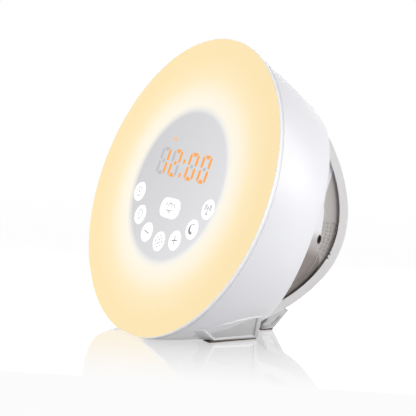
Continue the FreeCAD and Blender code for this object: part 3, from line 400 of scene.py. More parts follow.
def fill_vents(obj, circle, sink):
    """Close one row of perforations, either flush or as shallow dimples of a given depth.

    The holes of a row stand at equal angles on a circle, and a point belongs to a hole
    when its distance from the hole's middle is the hole's radius.
    """
    work = bmesh.new()
    work.from_mesh(obj.data)
    across, up, out = to_face(np.array([v.co[:] for v in work.verts]))
    turn = np.radians((np.arange(VENT_COUNT) - VENT_COUNT // 2) * VENT_PITCH)
    off = np.hypot(-out[:, None] - VENT_DEPTH - circle * np.cos(turn),
                   up[:, None] - VENT_UP - circle * np.sin(turn))
    near = (np.abs(off - VENT_HOLE) < 0.08) & (np.abs(across[:, None]) > 30)
    owner = np.where(near.any(axis=1), near.argmax(axis=1), -1)
    walls = [f for f in work.faces
             if owner[f.verts[0].index] >= 0 and len({owner[v.index] for v in f.verts}) == 1]
    bmesh.ops.delete(work, geom=walls, context="FACES_ONLY")
    loops = [e for e in work.edges if e.is_boundary]
    closed = bmesh.ops.holes_fill(work, edges=loops, sides=0)["faces"]
    bmesh.ops.recalc_face_normals(work, faces=work.faces)
    if sink:
        outer = [f for f in closed if abs(f.calc_center_median().x) > 0.0365]
        bmesh.ops.inset_individual(work, faces=outer, thickness=0.02 * MM, depth=-MM * sink)
    bmesh.ops.triangulate(work, faces=[f for f in work.faces if len(f.verts) > 4])
    work.to_mesh(obj.data)
    work.free()
    shade_smooth(obj.data, CAD_SHARP)
    return len(walls), len(loops)


spine = merged_copy("rear_housing", "rear_spine", satin_white)
for row, sink in enumerate(DIMPLES):
    walls, edges = fill_vents(spine, VENT_OUTER - VENT_STEP * row, sink)
    print("row", row, walls, "walls and", edges, "edges closed")

# %% [markdown]
# The recess has two finishes, and both paint in its shade. The flat panel has an etched
# grain and a grey darker than the mouldings, which is painted shade. The neck is white
# above, and a ramp over the height paints it dark below, which is painted shade too. The
# two meet in a crease, and a curve from the height gives the depth at which it runs.

# %% The recess
RECESS_LEAST = 2.2
PANEL_NEAR, PANEL_SIDE, PANEL_FAR = 36.4, 37.0, 37.6
NECK_NEAR, NECK_SURE = 37.3, 40.6
# The panel's grey, darker than the mouldings, is painted shade for the depth of the recess.
RECESS_SHADE_GREY = srgb(186, 181, 178)
CREASE = ((0.09, 0.37), (0.25, 0.9), (0.36, 0.99), (0.53, 0.84), (0.72, 0.62))


def face_coordinates(tree):
    """The piece's own place, turned and centred so that X is across and Y up the face."""
    place = tree.nodes.new("ShaderNodeTexCoord")
    turn = add_node(tree, "ShaderNodeMapping", vector_type="POINT")
    lean = -(math.pi / 2 - TILT)
    turn.inputs["Rotation"].default_value = (lean, 0, 0)
    moved = np.array(Matrix.Rotation(lean, 3, "X")) @ MIDDLE
    turn.inputs["Location"].default_value = tuple(float(v) for v in -moved)
    tree.links.new(place.outputs["Object"], turn.inputs["Vector"])
    return turn.outputs["Vector"]


def split_recess(obj, material):
    """Give a second material, which paints shade, to the panel and the neck deep under the dome.

    Deep means that a face's distance from the axis is well below the dome's radius there.
    """
    obj.data.materials.append(material)
    count = len(obj.data.polygons)
    centres, normals = np.zeros(count * 3), np.zeros(count * 3)
    obj.data.polygons.foreach_get("center", centres)
    obj.data.polygons.foreach_get("normal", normals)
    across, up, out = to_face(centres.reshape(-1, 3))
    below = dome_radius(np.clip(-out, 0, 140)) - np.hypot(across, up)
    side, facing = np.abs(across), np.abs(normals[::3])
    panel = (((facing > 0.95) | (side < PANEL_SIDE)) & (side > PANEL_NEAR)
             & (side < PANEL_FAR))
    neck = ((side > NECK_NEAR) & (facing > 0.6) & (facing < 0.97)) | (side > NECK_SURE)
    inside = (below > RECESS_LEAST) & (panel | neck)
    obj.data.polygons.foreach_set("material_index", inside.astype(np.int32))
    return int(inside.sum())


def recess_painted_shade():
    """Painted shade: a darker grey with an etched grain on the panel, and a white neck that
    darkens below.
    """
    material = moulded("Recess painted shade", RECESS_SHADE_GREY, {"IOR": 1.45}, roughness=0.6,
                       roughness_spread=0.15, grain_depth=0.35, wave_depth=0.0, tone=0.05)
    tree = material.node_tree
    parts = tree.nodes.new("ShaderNodeSeparateXYZ")
    feed(tree, parts.inputs[0], face_coordinates(tree))
    height = map_range(tree, parts.outputs["Y"], (-0.045, 0.025, 0.0, 1.0))
    crease = tree.nodes.new("ShaderNodeFloatCurve")
    line = crease.mapping.curves[0]
    line.points[0].location, line.points[1].location = (0.0, 0.0), (1.0, 0.4)
    for place in CREASE:
        line.points.new(*place)
    crease.mapping.update()
    feed(tree, crease.inputs["Value"], height)
    depth = map_range(tree, parts.outputs["Z"], (-0.068, -0.088, 0.0, 1.0), clamp=False)
    past = calculate(tree, "SUBTRACT", depth, crease.outputs[0])
    # Painted shade: the neck's white darkens to a brownish grey toward its bottom.
    shade = colour_ramp(tree, height, [(0.0, (128, 120, 116)), (0.42, (134, 126, 122)),
                                       (0.56, (186, 181, 179)), (0.68, (238, 237, 240))], "EASE")
    colours = add_node(tree, "ShaderNodeMix", data_type="RGBA")
    feed(tree, colours.inputs["Factor"], map_range(tree, past, (-0.02, 0.02, 0.0, 1.0)))
    feed(tree, colours.inputs["A"], shade)
    colours.inputs["B"].default_value = RECESS_SHADE_GREY
    surface = next(n for n in tree.nodes if n.type == "GROUP")
    feed(tree, surface.inputs["Colour"], colours.outputs["Result"])
    return material


print(split_recess(spine, recess_painted_shade()), "faces in the recesses")
even = spine.modifiers.new("Even shading", "WEIGHTED_NORMAL")
even.keep_sharp = True
print("rear_spine", len(spine.data.polygons), "faces")

# %% [markdown]
# Each foot is a thin moulding that leans out to meet the dome. Its side is a ruled surface:
# straight lines from the bottom edge up to a crest that lies on the dome, with a shallow
# pocket pressed into it, which leaves a lighter rim. The crest stands a little proud, so
# it catches the light, and in front a short horn runs forward under the dome.

# %% Feet
def on_dome(points, inset):
    """Move points, in room millimetres, straight to or from the axis until they meet the dome."""
    across, up, out = to_face(points * MM)
    scale = dome_radius(-out, inset) / np.hypot(across, up)
    return to_room(across * scale, up * scale, out) / MM


def smooth_step(value):
    """Rise from 0 to 1 with level ends: three times the square less twice the cube."""
    value = np.clip(value, 0, 1)
    return value * value * (3 - 2 * value)


def along(stations, share):
    """Points at shares of the way along a few stations, each coordinate by a smooth fit."""
    stations = np.array(stations, float)
    knots = np.linspace(0, 1, len(stations))
    degree = min(3, len(stations) - 1)
    return np.stack([np.polyval(np.polyfit(knots, stations[:, k], degree), share)
                     for k in range(3)], axis=1)


PROUD, SUNK = 0.7, 1.2
POCKET = 0.9
POCKET_RIMS = (1.5, 2.4, 2.2, 0.7)


def foot_skin(bottom, crest, inner, horn):
    """Grid of (share along the foot, place round its section), with both ends closed."""
    share = np.linspace(0, 1, 70)
    rise = np.linspace(0, 1, 44)
    low, inside = along(bottom, share), along(inner, share)
    top = on_dome(along(crest, share), -PROUD)
    side = low[:, None] * (1 - rise)[None, :, None] + top[:, None] * rise[None, :, None]
    run = np.linalg.norm(low[-1] - low[0]) * 0.5 + np.linalg.norm(top[-1] - top[0]) * 0.5
    height = np.linalg.norm(top - low, axis=1)[:, None]
    fore, aft, under, over = POCKET_RIMS
    press = (smooth_step((share * run - fore) / 0.5)[:, None]
             * smooth_step(((1 - share) * run - aft) / 0.5)[:, None]
             * smooth_step((rise[None] * height - under) / 0.5)
             * smooth_step(((1 - rise[None]) * height - over) / 0.4))
    normal = np.cross(low[-1] - low[0], top[len(top) // 2] - low[len(low) // 2])
    normal /= np.linalg.norm(normal)
    normal *= np.sign(normal[0])
    side = side - POCKET * press[..., None] * normal
    blend = np.clip(1 - share / 0.14, 0, 1)[:, None] ** 2
    lip = on_dome(top + (0.0, 0.0, 1.3), PROUD) * (1 - blend) + np.array(horn[0]) * blend
    hidden = on_dome(0.5 * (top + inside), SUNK) * (1 - blend) + np.array(horn[1]) * blend
    rows = np.concatenate([inside[:, None], side, lip[:, None], hidden[:, None]], axis=1)
    ends = [np.broadcast_to(row.mean(axis=0), row.shape)[None] for row in (rows[0], rows[-1])]
    return MM * np.concatenate([ends[0], rows, ends[1]])


front_foot = foot_skin(
    bottom=[(34.7, -31.8, 1.0), (36.2, -2.2, 1.0)],
    crest=[(49.6, -50.3, 11.9), (53.2, -43.1, 14.1), (56.6, -34.0, 17.0), (56.6, -25.0, 18.2),
           (54.4, -12.6, 18.4)],
    inner=[(28.0, -37.8, 1.0), (28.0, -2.2, 1.0)],
    horn=((47.2, -55.0, 10.9), (38.1, -50.3, 5.6)))
for node, sign in (("right_front_foot", 1), ("left_front_foot", -1)):
    foot = grid_object(node + "_moulding", front_foot * np.array([sign, 1, 1]),
                       close_rows=False, sharp_degrees=24)
    finish_piece(foot, foot_white, "clock_body")
    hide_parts(node)
merged_copy("rear_foot", "rear_foot_moulding", foot_white)
print("feet", len(front_foot), "rows each")

# %% [markdown]
# The diffuser is a frosted disc with a rounded rim. Its plate has eight holes for the
# keys, and a flat outline with holes in it is what Blender's curves fill well, so the
# plate is a filled curve and only the rim is a turned profile.

# %% Outlines for the plate
LENS_RADIUS, LENS_THICK, LENS_EDGE = 90.75, 2.4, 0.5
KEY_RADIUS, KEY_GAP = 5.85, 0.2
KEY_ARC, KEY_ARC_UP, KEY_PITCH = 41.4, 7.4, math.radians(22.3)
KEYS = {"alarm": -3, "light": -2, "minus": -1, "brightness": 0, "plus": 1, "sleep": 2, "radio": 3}
SNOOZE_UP, SNOOZE_WIDE, SNOOZE_HIGH, SNOOZE_CORNER = -13.7, 20.8, 11.6, 5.3


def key_centre(name):
    """Middle of a round key on its curve, in face millimetres."""
    turn = KEYS[name] * KEY_PITCH
    return KEY_ARC * math.sin(turn), KEY_ARC_UP - KEY_ARC * math.cos(turn)


def circle_points(radius, centre=(0.0, 0.0), count=96):
    """Points at equal angles: the centre plus the radius times the angle's sine and cosine."""
    angle = np.linspace(0, 2 * np.pi, count, endpoint=False)
    return np.array(centre) + radius * np.stack([np.sin(angle), np.cos(angle)], axis=1)


def rounded_points(wide, high, corner, up, count=16):
    """A rounded rectangle: a quarter circle about each corner's centre, in order."""
    quarter = np.linspace(0, np.pi / 2, count)
    parts = []
    for index, (sx, sy) in enumerate(((1, 1), (1, -1), (-1, -1), (-1, 1))):
        angle = quarter + index * np.pi / 2
        parts.append(np.stack([sx * (wide / 2 - corner) + corner * np.sin(angle),
                               up + sy * (high / 2 - corner) + corner * np.cos(angle)], axis=1))
    return np.concatenate(parts)


def filled_plate(name, loops, front, thick):
    """A plate with holes: a flat filled curve, thickened, made a mesh and carried into place."""
    curve = bpy.data.curves.new(name, "CURVE")
    curve.dimensions = "2D"
    curve.fill_mode = "BOTH"
    curve.extrude = thick / 2
    for loop in loops:
        spline = curve.splines.new("POLY")
        spline.points.add(len(loop) - 1)
        flat = np.column_stack([loop, np.zeros(len(loop)), np.ones(len(loop))])
        spline.points.foreach_set("co", flat.ravel())
        spline.use_cyclic_u = True
    holder = link_object(name, curve)
    bpy.context.view_layer.update()
    graph = bpy.context.evaluated_depsgraph_get()
    mesh = bpy.data.meshes.new_from_object(holder.evaluated_get(graph))
    bpy.data.objects.remove(holder)
    local = np.zeros(len(mesh.vertices) * 3)
    mesh.vertices.foreach_get("co", local)
    local = local.reshape(-1, 3)
    placed = to_room(local[:, 0], local[:, 1], local[:, 2] + front - thick / 2)
    mesh.vertices.foreach_set("co", placed.ravel())
    mesh.update()
    return close_up(link_object(name, mesh))


def turned(name, profile, centre=(0.0, 0.0), count=96, floor=None, closed=True):
    """A profile of (radius, height out of the face) carried round the face's axis.

    Points below a floor are moved up along the face until they lie on it.
    """
    profile = np.array(profile)
    angle = np.linspace(0, 2 * np.pi, count, endpoint=False)
    points = to_room(centre[0] + profile[:, :1] * np.sin(angle),
                     centre[1] + profile[:, :1] * np.cos(angle), profile[:, 1:])
    if floor is not None:
        lack = np.maximum(floor - points[..., 2:], 0.0)
        points = points + lack / UP[2] * UP
    return grid_object(name, points, close_rows=closed)


def edge_round(radius, height, bend, steps=6):
    """The profile of a quarter round that turns from a flat top into a side wall."""
    turn = np.linspace(0, np.pi / 2, steps)
    return [(radius - bend + bend * math.sin(a), height - bend + bend * math.cos(a))
            for a in turn]


# %% [markdown]
# The lit disc glows white round the clock face and warm yellow toward its edge, with a
# soft grey print in the middle. On the real lamp the diodes and a printed film make that
# glow. Here the distance from the axis, read from the piece's own coordinates, picks the
# colour on a ramp. Most of it is given as light and the rest as paint.

# %% The lit face
GLOW = [(0.0, (216, 216, 218)), (0.485, (217, 217, 219)), (0.5, (226, 226, 226)),
        (0.515, (239, 238, 232)), (0.55, (254, 247, 231)), (0.627, (254, 244, 221)),
        (0.69, (254, 239, 205)), (0.75, (253, 234, 191)), (0.88, (252, 229, 180)),
        (1.0, (252, 229, 179))]
FACE_LIGHT, FACE_PAINT = 0.785, 0.3
PRINT_DRIFT = (1.9, -0.8, 0.0)


def lit_face():
    """Colour by the distance from the axis, with a slight slope of tone over the print.

    The slope is a fixed direction times the place on the face, and it ends at the print.
    """
    material, tree, shader = new_material("Lit frosted diffuser")
    parts = tree.nodes.new("ShaderNodeSeparateXYZ")
    feed(tree, parts.inputs[0], face_coordinates(tree))
    flat = tree.nodes.new("ShaderNodeCombineXYZ")
    for axis in "XY":
        feed(tree, flat.inputs[axis], parts.outputs[axis])
    radius = measured(tree, "LENGTH", flat.outputs[0])
    share = calculate(tree, "DIVIDE", radius, MM * LENS_RADIUS)
    glow = colour_ramp(tree, share, GLOW, "LINEAR")
    drift = measured(tree, "DOT_PRODUCT", flat.outputs[0], PRINT_DRIFT)
    within = map_range(tree, share, (0.49, 0.55, 1.0, 0.0))
    shaded = scaled(tree, glow, calculate(tree, "MULTIPLY_ADD", drift, within, 1.0))
    feed(tree, shader.inputs["Base Color"], scaled(tree, shaded, FACE_PAINT))
    feed(tree, shader.inputs["Emission Color"], shaded)
    shader.inputs["Emission Strength"].default_value = FACE_LIGHT
    grain = add_node(tree, "ShaderNodeTexNoise", Scale=1600.0, Detail=2.0)
    frost = add_node(tree, "ShaderNodeBump", Strength=0.06, Distance=0.00004)
    feed(tree, frost.inputs["Height"], grain.outputs["Fac"])
    feed(tree, shader.inputs["Normal"], frost.outputs["Normal"])
    shader.inputs["Roughness"].default_value = 0.6
    shader.inputs["Specular IOR Level"].default_value = 0.15
    return material


def rim_finish():
    """White that takes up a little of the plate's light where it is level with the plate."""
    material = moulded("Diffuser rim", srgb(240, 240, 243),
                       {"IOR": 1.5, "Emission Strength": 0.22},
                       roughness=0.35, grain_depth=0.03, wave_depth=0.0)
    tree = material.node_tree
    parts = tree.nodes.new("ShaderNodeSeparateXYZ")
    feed(tree, parts.inputs[0], face_coordinates(tree))
    level = map_range(tree, parts.outputs["Z"], (-0.0013, -0.0007, 0.0, 1.0))
    shader = tree.nodes["Principled BSDF"]
    feed(tree, shader.inputs["Emission Color"], scaled(tree, (1.0, 1.0, 1.0), level))
    return material


SKIRT_RADIUS, SKIRT_INNER, SKIRT_END = 87.75, 86.25, -5.0
outer = circle_points(LENS_RADIUS - LENS_EDGE, count=ANGLES)
lowest = (FLAT_BASE - MIDDLE[2]) / MM / math.cos(TILT)
outer[:, 1] = np.maximum(outer[:, 1], lowest)
holes = [circle_points(KEY_RADIUS + KEY_GAP, key_centre(name), 72) for name in KEYS]
holes.append(rounded_points(SNOOZE_WIDE + 2 * KEY_GAP, SNOOZE_HIGH + 2 * KEY_GAP,
                            SNOOZE_CORNER + KEY_GAP, SNOOZE_UP))
plate = filled_plate("diffuser_plate", [outer] + holes, 0.0, LENS_THICK)
finish_piece(plate, lit_face(), "clock_body")
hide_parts("front_diffuser")

rim_profile = ([(LENS_RADIUS - LENS_EDGE, 0.0)] + edge_round(LENS_RADIUS, 0.0, LENS_EDGE, 8)
               + [(LENS_RADIUS, -LENS_THICK), (SKIRT_RADIUS, -LENS_THICK),
                  (SKIRT_RADIUS, SKIRT_END), (SKIRT_INNER, SKIRT_END),
                  (SKIRT_INNER, -LENS_THICK - 0.05), (LENS_RADIUS - LENS_EDGE, -LENS_THICK + 0.3)])
rim = turned("diffuser_rim", rim_profile, count=ANGLES, floor=FLAT_BASE)
finish_piece(rim, rim_finish(), "clock_body")
print("diffuser", len(plate.data.polygons) + len(rim.data.polygons), "faces")

# %% [markdown]
# Each key is a small cap with a soft edge, a flange that keeps it behind the plate and a
# stem that reaches its switch. The round ones are turned profiles. The snooze key has the
# same edge and flange carried round an oblong, which shrinks as the profile runs inward.

# %% Keys
CAP_TOP, CAP_BEND = 0.3, 0.4
FLANGE_GROW, FLANGE_FRONT, FLANGE_BACK = 1.0, -2.5, -3.2
STEM_RADIUS, STEM_END = 1.5, -4.55


def round_key(name):
    """A turned key: its top, round edge, side, flange and stem, from the axis and back."""
    flange = KEY_RADIUS + FLANGE_GROW
    profile = ([(0.0, CAP_TOP)] + edge_round(KEY_RADIUS, CAP_TOP, CAP_BEND)
               + [(KEY_RADIUS, FLANGE_FRONT), (flange, FLANGE_FRONT), (flange, FLANGE_BACK),
                  (STEM_RADIUS, FLANGE_BACK), (STEM_RADIUS, STEM_END), (0.0, STEM_END)])
    cap = turned(name + "_cap", profile, key_centre(name), 72, closed=False)
    finish_piece(cap, glowing_key_white, name + "_button")
    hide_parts(name + "_key")
    return cap


def snooze_ring(grow, out):
    """One ring of the snooze key: its outline grown or shrunk by an amount, at a height."""
    corner = max(SNOOZE_CORNER + grow, 0.02)
    outline = rounded_points(max(SNOOZE_WIDE + 2 * grow, 0.05), max(SNOOZE_HIGH + 2 * grow, 0.05),
                             corner, SNOOZE_UP, 12)
    return to_room(outline[:, 0], outline[:, 1], out)


def snooze_cap():
    """Rings from the back of the flange, out round the edge and in over the top."""
    bend = np.linspace(0, np.pi / 2, 6)
    rings = [snooze_ring(-6.3, FLANGE_BACK), snooze_ring(FLANGE_GROW, FLANGE_BACK),
             snooze_ring(FLANGE_GROW, FLANGE_FRONT), snooze_ring(0.0, FLANGE_FRONT)]
    rings += [snooze_ring(CAP_BEND * (math.cos(a) - 1), CAP_TOP + CAP_BEND * (math.sin(a) - 1))
              for a in bend]
    rings += [snooze_ring(grow, CAP_TOP) for grow in (-1.5, -3.0, -4.5, -6.3)]
    cap = grid_object("snooze_cap", np.stack(rings))
    finish_piece(cap, glowing_key_white, "snooze_button")
    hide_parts("snooze_key")
    return cap


caps = [round_key(name) for name in KEYS] + [snooze_cap()]
print(len(caps), "keys")

# %% [markdown]
# The icons are printed on the caps in grey. Each is a few strokes, and a stroke is a thin
# ribbon: a flat four-cornered section carried along a path. They lie a few hundredths of
# a millimetre on the cap, and they ride with it when it is pressed.

# %% Icons as ribbons
# The grey print of the icons is given a glow of its own, which is painted light.
icon_grey = glow_and_paint("Printed icon with painted glow", srgb(122, 122, 126), 0.7, 0.6)
icon_pale = glow_and_paint("Pale printed icon with painted glow", srgb(162, 162, 166), 0.7, 0.6)
INK = 0.03


def ribbon(path, width, closed):
    """Grid of a flat section along a path: each point moved half a width to either side."""
    path = np.array(path, float)
    before, after = np.roll(path, 1, axis=0), np.roll(path, -1, axis=0)
    if not closed:
        before[0], after[-1] = path[0], path[-1]
    heading = after - before
    heading /= np.linalg.norm(heading, axis=1, keepdims=True)
    side = np.stack([-heading[:, 1], heading[:, 0]], axis=1) * width / 2
    left, right = (path + side).T, (path - side).T
    rows = [to_room(*left, CAP_TOP), to_room(*left, CAP_TOP + INK),
            to_room(*right, CAP_TOP + INK), to_room(*right, CAP_TOP)]
    return np.stack(rows, axis=1)


def print_icon(name, centre, strokes, body, width, material=icon_grey):
    """Join the ribbons of an icon into one piece on its key."""
    points, faces, start = [], [], 0
    for stroke, closed in strokes:
        path = np.array(stroke, float) + np.array(centre)
        grid = ribbon(path, width, closed)
        quads = grid_faces(*grid.shape[:2], closed)
        if not closed:
            last = grid.shape[0] * 4 - 4
            quads = np.concatenate([quads, [[3, 2, 1, 0]], [[last, last + 1, last + 2, last + 3]]])
        points.append(grid.reshape(-1, 3))
        faces.append(quads + start)
        start += grid.shape[0] * 4
    obj = make_object(name, np.concatenate(points), np.concatenate(faces).tolist())
    return finish_piece(close_up(obj, merge=1e-7), material, body)


def arc(radius, start, end, centre=(0.0, 0.0), count=20):
    """Points of an arc between two angles in degrees, counted from straight up."""
    angle = np.radians(np.linspace(start, end, count))
    return np.array(centre) + radius * np.stack([np.sin(angle), np.cos(angle)], axis=1)


def spun(points, degrees):
    """The same points turned clockwise about the middle of their key."""
    turn = math.radians(degrees)
    points = np.array(points, float)
    return np.stack([points[:, 0] * math.cos(turn) + points[:, 1] * math.sin(turn),
                     points[:, 1] * math.cos(turn) - points[:, 0] * math.sin(turn)], axis=1)


ICONS = {
    "alarm": [(circle_points(2.7, count=36), True), (circle_points(0.4, count=12), True)],
    "light": [(arc(2.2, -145, 145, (0, 0.7)), False), ([(-0.9, -2.0), (0.9, -2.0)], False),
              ([(-0.6, -2.8), (0.6, -2.8)], False)],
    "minus": [(spun([(-2.7, 0), (2.7, 0)], 13), False)],
    "plus": [(spun([(-2.7, 0), (2.7, 0)], -11), False), (spun([(0, -2.7), (0, 2.7)], -5), False)],
    "brightness": [(circle_points(1.5, count=6), True)]
    + [(circle_points(0.3, (3.3 * math.sin(a), 3.3 * math.cos(a)), 10), True)
       for a in np.radians(np.arange(0, 360, 45))],
    "radio": [([(0, -2.8), (0, 0.4)], False), ([(-1.3, -2.8), (1.3, -2.8)], False),
              (circle_points(0.45, (0, 0.9), 12), True), (arc(1.9, 40, 130, (0, 0.9)), False),
              (arc(1.9, -130, -40, (0, 0.9)), False), (arc(3.0, 45, 125, (0, 0.9)), False),
              (arc(3.0, -125, -45, (0, 0.9)), False)],
}
PALE = {"alarm", "light", "brightness"}
for key, strokes in ICONS.items():
    print_icon(key + "_icon", key_centre(key), strokes, key + "_button",
               width=0.6 if key in ("minus", "plus") else 0.5,
               material=icon_pale if key in PALE else icon_grey)
bell = [(np.concatenate([[(-2.9, -1.6)], arc(1.9, -80, 80, (0, 0.9), 16), [(2.9, -1.6)]]), True),
        (arc(0.8, 110, 250, (0, -1.9), 8), False), (arc(4.4, 50, 85, (0, 0.3)), False),
        (arc(4.4, -85, -50, (0, 0.3)), False)]
print_icon("snooze_icon", (0.0, SNOOZE_UP), bell, "snooze_button", width=0.5)
print(len(ICONS) + 1, "icons of ribbons")


def crescent(centre):
    """A filled moon: out along a large arc, back along a smaller one set to one side."""
    outside = arc(3.0, 160, 375, (-0.1, -0.1), 30)
    inside = arc(2.55, 375, 160, (0.95, 0.75), 24)
    return np.concatenate([outside, inside]) + np.array(centre)


# %% [markdown]
# The time shows through the grey print as lit and unlit segments. A segment is a bar with
# pointed ends. The lit ones glow orange, the unlit ones are a slightly darker grey, and
# each lies almost flush with the face.

# %% Display segments
lit_orange = glow_and_paint("Lit segment", srgb(246, 160, 58), 0.93, 0.06)
soft_orange = glow_and_paint("Soft indicator", srgb(240, 184, 132), 0.9)
unlit_grey = glow_and_paint("Unlit segment", srgb(186, 186, 189), 0.75, 0.3)

DIGIT_LEFT = (-27.2, -14.2, 4.0, 17.6)
DIGIT_WIDE, DIGIT_TOP, DIGIT_LOW = 7.4, 20.6, 4.6
BAR_THICK, BAR_GAP, FILM = 2.35, 0.38, 0.02
DIGITS = {0: "abcdef", 1: "bc", 2: "abged"}


def bar(x0, y0, x1, y1, thick, point):
    """Outline of a bar with pointed ends between two places."""
    start, end = np.array([x0, y0]), np.array([x1, y1])
    heading = (end - start) / np.linalg.norm(end - start)
    side, tip = np.array([-heading[1], heading[0]]) * thick / 2, heading * point
    return np.array([start, start + tip + side, end - tip + side, end,
                     end - tip - side, start + tip - side])


def cap_bar(left, right, level, sign):
    """Outline of the bar that closes a digit: wide outside and narrow toward the middle."""
    outside, inside = level + 0.4 * sign, level - 1.9 * sign
    return np.array([(left + 0.8, outside), (right - 0.8, outside), (right - 2.6, inside),
                     (left + 2.6, inside)])


def segment_outlines(left):
    """The seven bars of a digit whose left bars stand at a given place."""
    right, middle = left + DIGIT_WIDE, (DIGIT_TOP + DIGIT_LOW) / 2
    rise = DIGIT_TOP - middle
    bars = {"a": cap_bar(left, right, DIGIT_TOP, 1), "d": cap_bar(left, right, DIGIT_LOW, -1),
            "g": bar(left + 1.9, middle, right - 1.9, middle, 2.2, 1.1)}
    for key, x, low in (("f", left, middle), ("b", right, middle), ("e", left, DIGIT_LOW),
                        ("c", right, DIGIT_LOW)):
        bars[key] = bar(x, low + BAR_GAP, x, low + rise - BAR_GAP, BAR_THICK, 0.8)
    return bars


def flat_pieces(name, outlines, base, material, body="clock_body"):
    """Thin plates with the given outlines, joined into one piece."""
    points, faces, start = [], [], 0
    for outline in outlines:
        count = len(outline)
        points += [to_room(*outline.T, height) for height in (base, base + FILM)]
        here = start + np.arange(count)
        after = start + (np.arange(count) + 1) % count
        faces += np.stack([here, after, after + count, here + count], axis=1).tolist()
        faces += [(here + count).tolist(), here[::-1].tolist()]
        start += 2 * count
    obj = close_up(make_object(name, np.concatenate(points), faces), merge=1e-7)
    return finish_piece(obj, material, body)


flat_pieces("sleep_icon", [crescent(key_centre("sleep"))], CAP_TOP, icon_grey, "sleep_button")

lit_bars, unlit_bars = [], []
for left, digit in zip(DIGIT_LEFT, (1, 2, 0, 0)):
    for key, outline in segment_outlines(left).items():
        (lit_bars if key in DIGITS[digit] else unlit_bars).append(outline)
colon = [bar(-1.55, 13.1, -1.55, 16.0, 2.1, 0.4), bar(-1.75, 4.8, -1.75, 7.8, 2.1, 0.4)]
flat_pieces("lit_segments", lit_bars + colon, 0.0, lit_orange)
flat_pieces("unlit_segments", unlit_bars, 0.0, unlit_grey)
flat_pieces("alarm_indicator", [bar(-20.9, 26.6, -16.3, 26.6, 1.8, 0.8)], 0.0, soft_orange)
print(len(lit_bars) + len(colon), "lit bars,", len(unlit_bars), "unlit")

# %% [markdown]
# The power socket is a black ring with a deep bore and a pin. It sits on the sloping
# flank beside the spine, so its profile is turned about that flank's normal.

# %% Power socket
socket_black = moulded("Socket black", srgb(46, 43, 41), {"IOR": 1.5}, roughness=0.35,
                       roughness_spread=0.1, grain_depth=0.1, wave_depth=0.0, tone=0.1)
pin_metal = moulded("Socket pin", srgb(170, 165, 155), {"Metallic": 1.0}, roughness=0.3,
                    grain_depth=0.05, wave_depth=0.0)
NECK_LEAN = math.radians(8.45)
NECK_SLOPE = 0.573
JACK_FORE = 2.9


def jack_frame():
    """Origin and three directions of the socket: across, up and out along the flank's normal."""
    flank = math.atan(NECK_SLOPE)
    back = np.array([0.0, math.cos(NECK_LEAN), -math.sin(NECK_LEAN)])
    up = np.array([0.0, math.sin(NECK_LEAN), math.cos(NECK_LEAN)])
    place = (37 + NECK_SLOPE * JACK_FORE) * ACROSS - 16.5 * up + (82 - JACK_FORE) * back
    out = math.cos(flank) * ACROSS + math.sin(flank) * back
    return MIDDLE + MM * place, np.cross(up, out), up, out


def turned_on_flank(name, profile, material, count=48):
    """A profile of (radius, height) carried round the normal of the flank."""
    origin, side, up, out = jack_frame()
    profile = np.array(profile)
    angle = np.linspace(0, 2 * np.pi, count, endpoint=False)
    radial = np.sin(angle)[:, None] * side + np.cos(angle)[:, None] * up
    radius, height = profile.T[:, :, None, None]
    obj = grid_object(name, origin + MM * (radius * radial + height * out), close_rows=False)
    return finish_piece(obj, material, "clock_body")


socket = turned_on_flank("power_inlet_ring", [
    (0.0, -11.0), (2.7, -11.0), (2.7, 0.15), (2.55, 0.4), (2.15, 0.4), (1.9, 0.1), (1.9, -9.0),
    (0.0, -9.0)], socket_black)
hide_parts("power_socket")
turned_on_flank("power_inlet_pin", [
    (0.0, -9.0), (0.5, -9.0), (0.5, -1.3), (0.3, -1.0), (0.0, -1.0)], pin_metal, 24)
print("power_inlet_ring", len(socket.data.polygons), "faces")

# %% [markdown]
# The pieces inside keep their CAD shapes. Each still gets a surface of its own: solder
# mask with faint traces, white reflector paint, brushed screws, paper and ferrite.

# %% Finishes for what is inside
def circuit_board(name, colour):
    """Solder mask with a faint pattern of darker tracks from a fine brick layout."""
    material = moulded(name, colour, {"Coat Weight": 0.4}, roughness=0.35, grain_depth=0.05,
                       tone=0.1)
    tree = material.node_tree
    place = tree.nodes.new("ShaderNodeTexCoord")
    tracks = add_node(tree, "ShaderNodeTexBrick", Scale=260.0)
    tracks.inputs["Color1"].default_value = colour
    tracks.inputs["Color2"].default_value = tuple(0.8 * v for v in colour[:3]) + (1.0,)
    tracks.inputs["Mortar"].default_value = tuple(0.55 * v for v in colour[:3]) + (1.0,)
    tree.links.new(place.outputs["Object"], tracks.inputs["Vector"])
    surface = next(n for n in tree.nodes if n.type == "GROUP")
    tree.links.new(tracks.outputs["Color"], surface.inputs["Colour"])
    return material


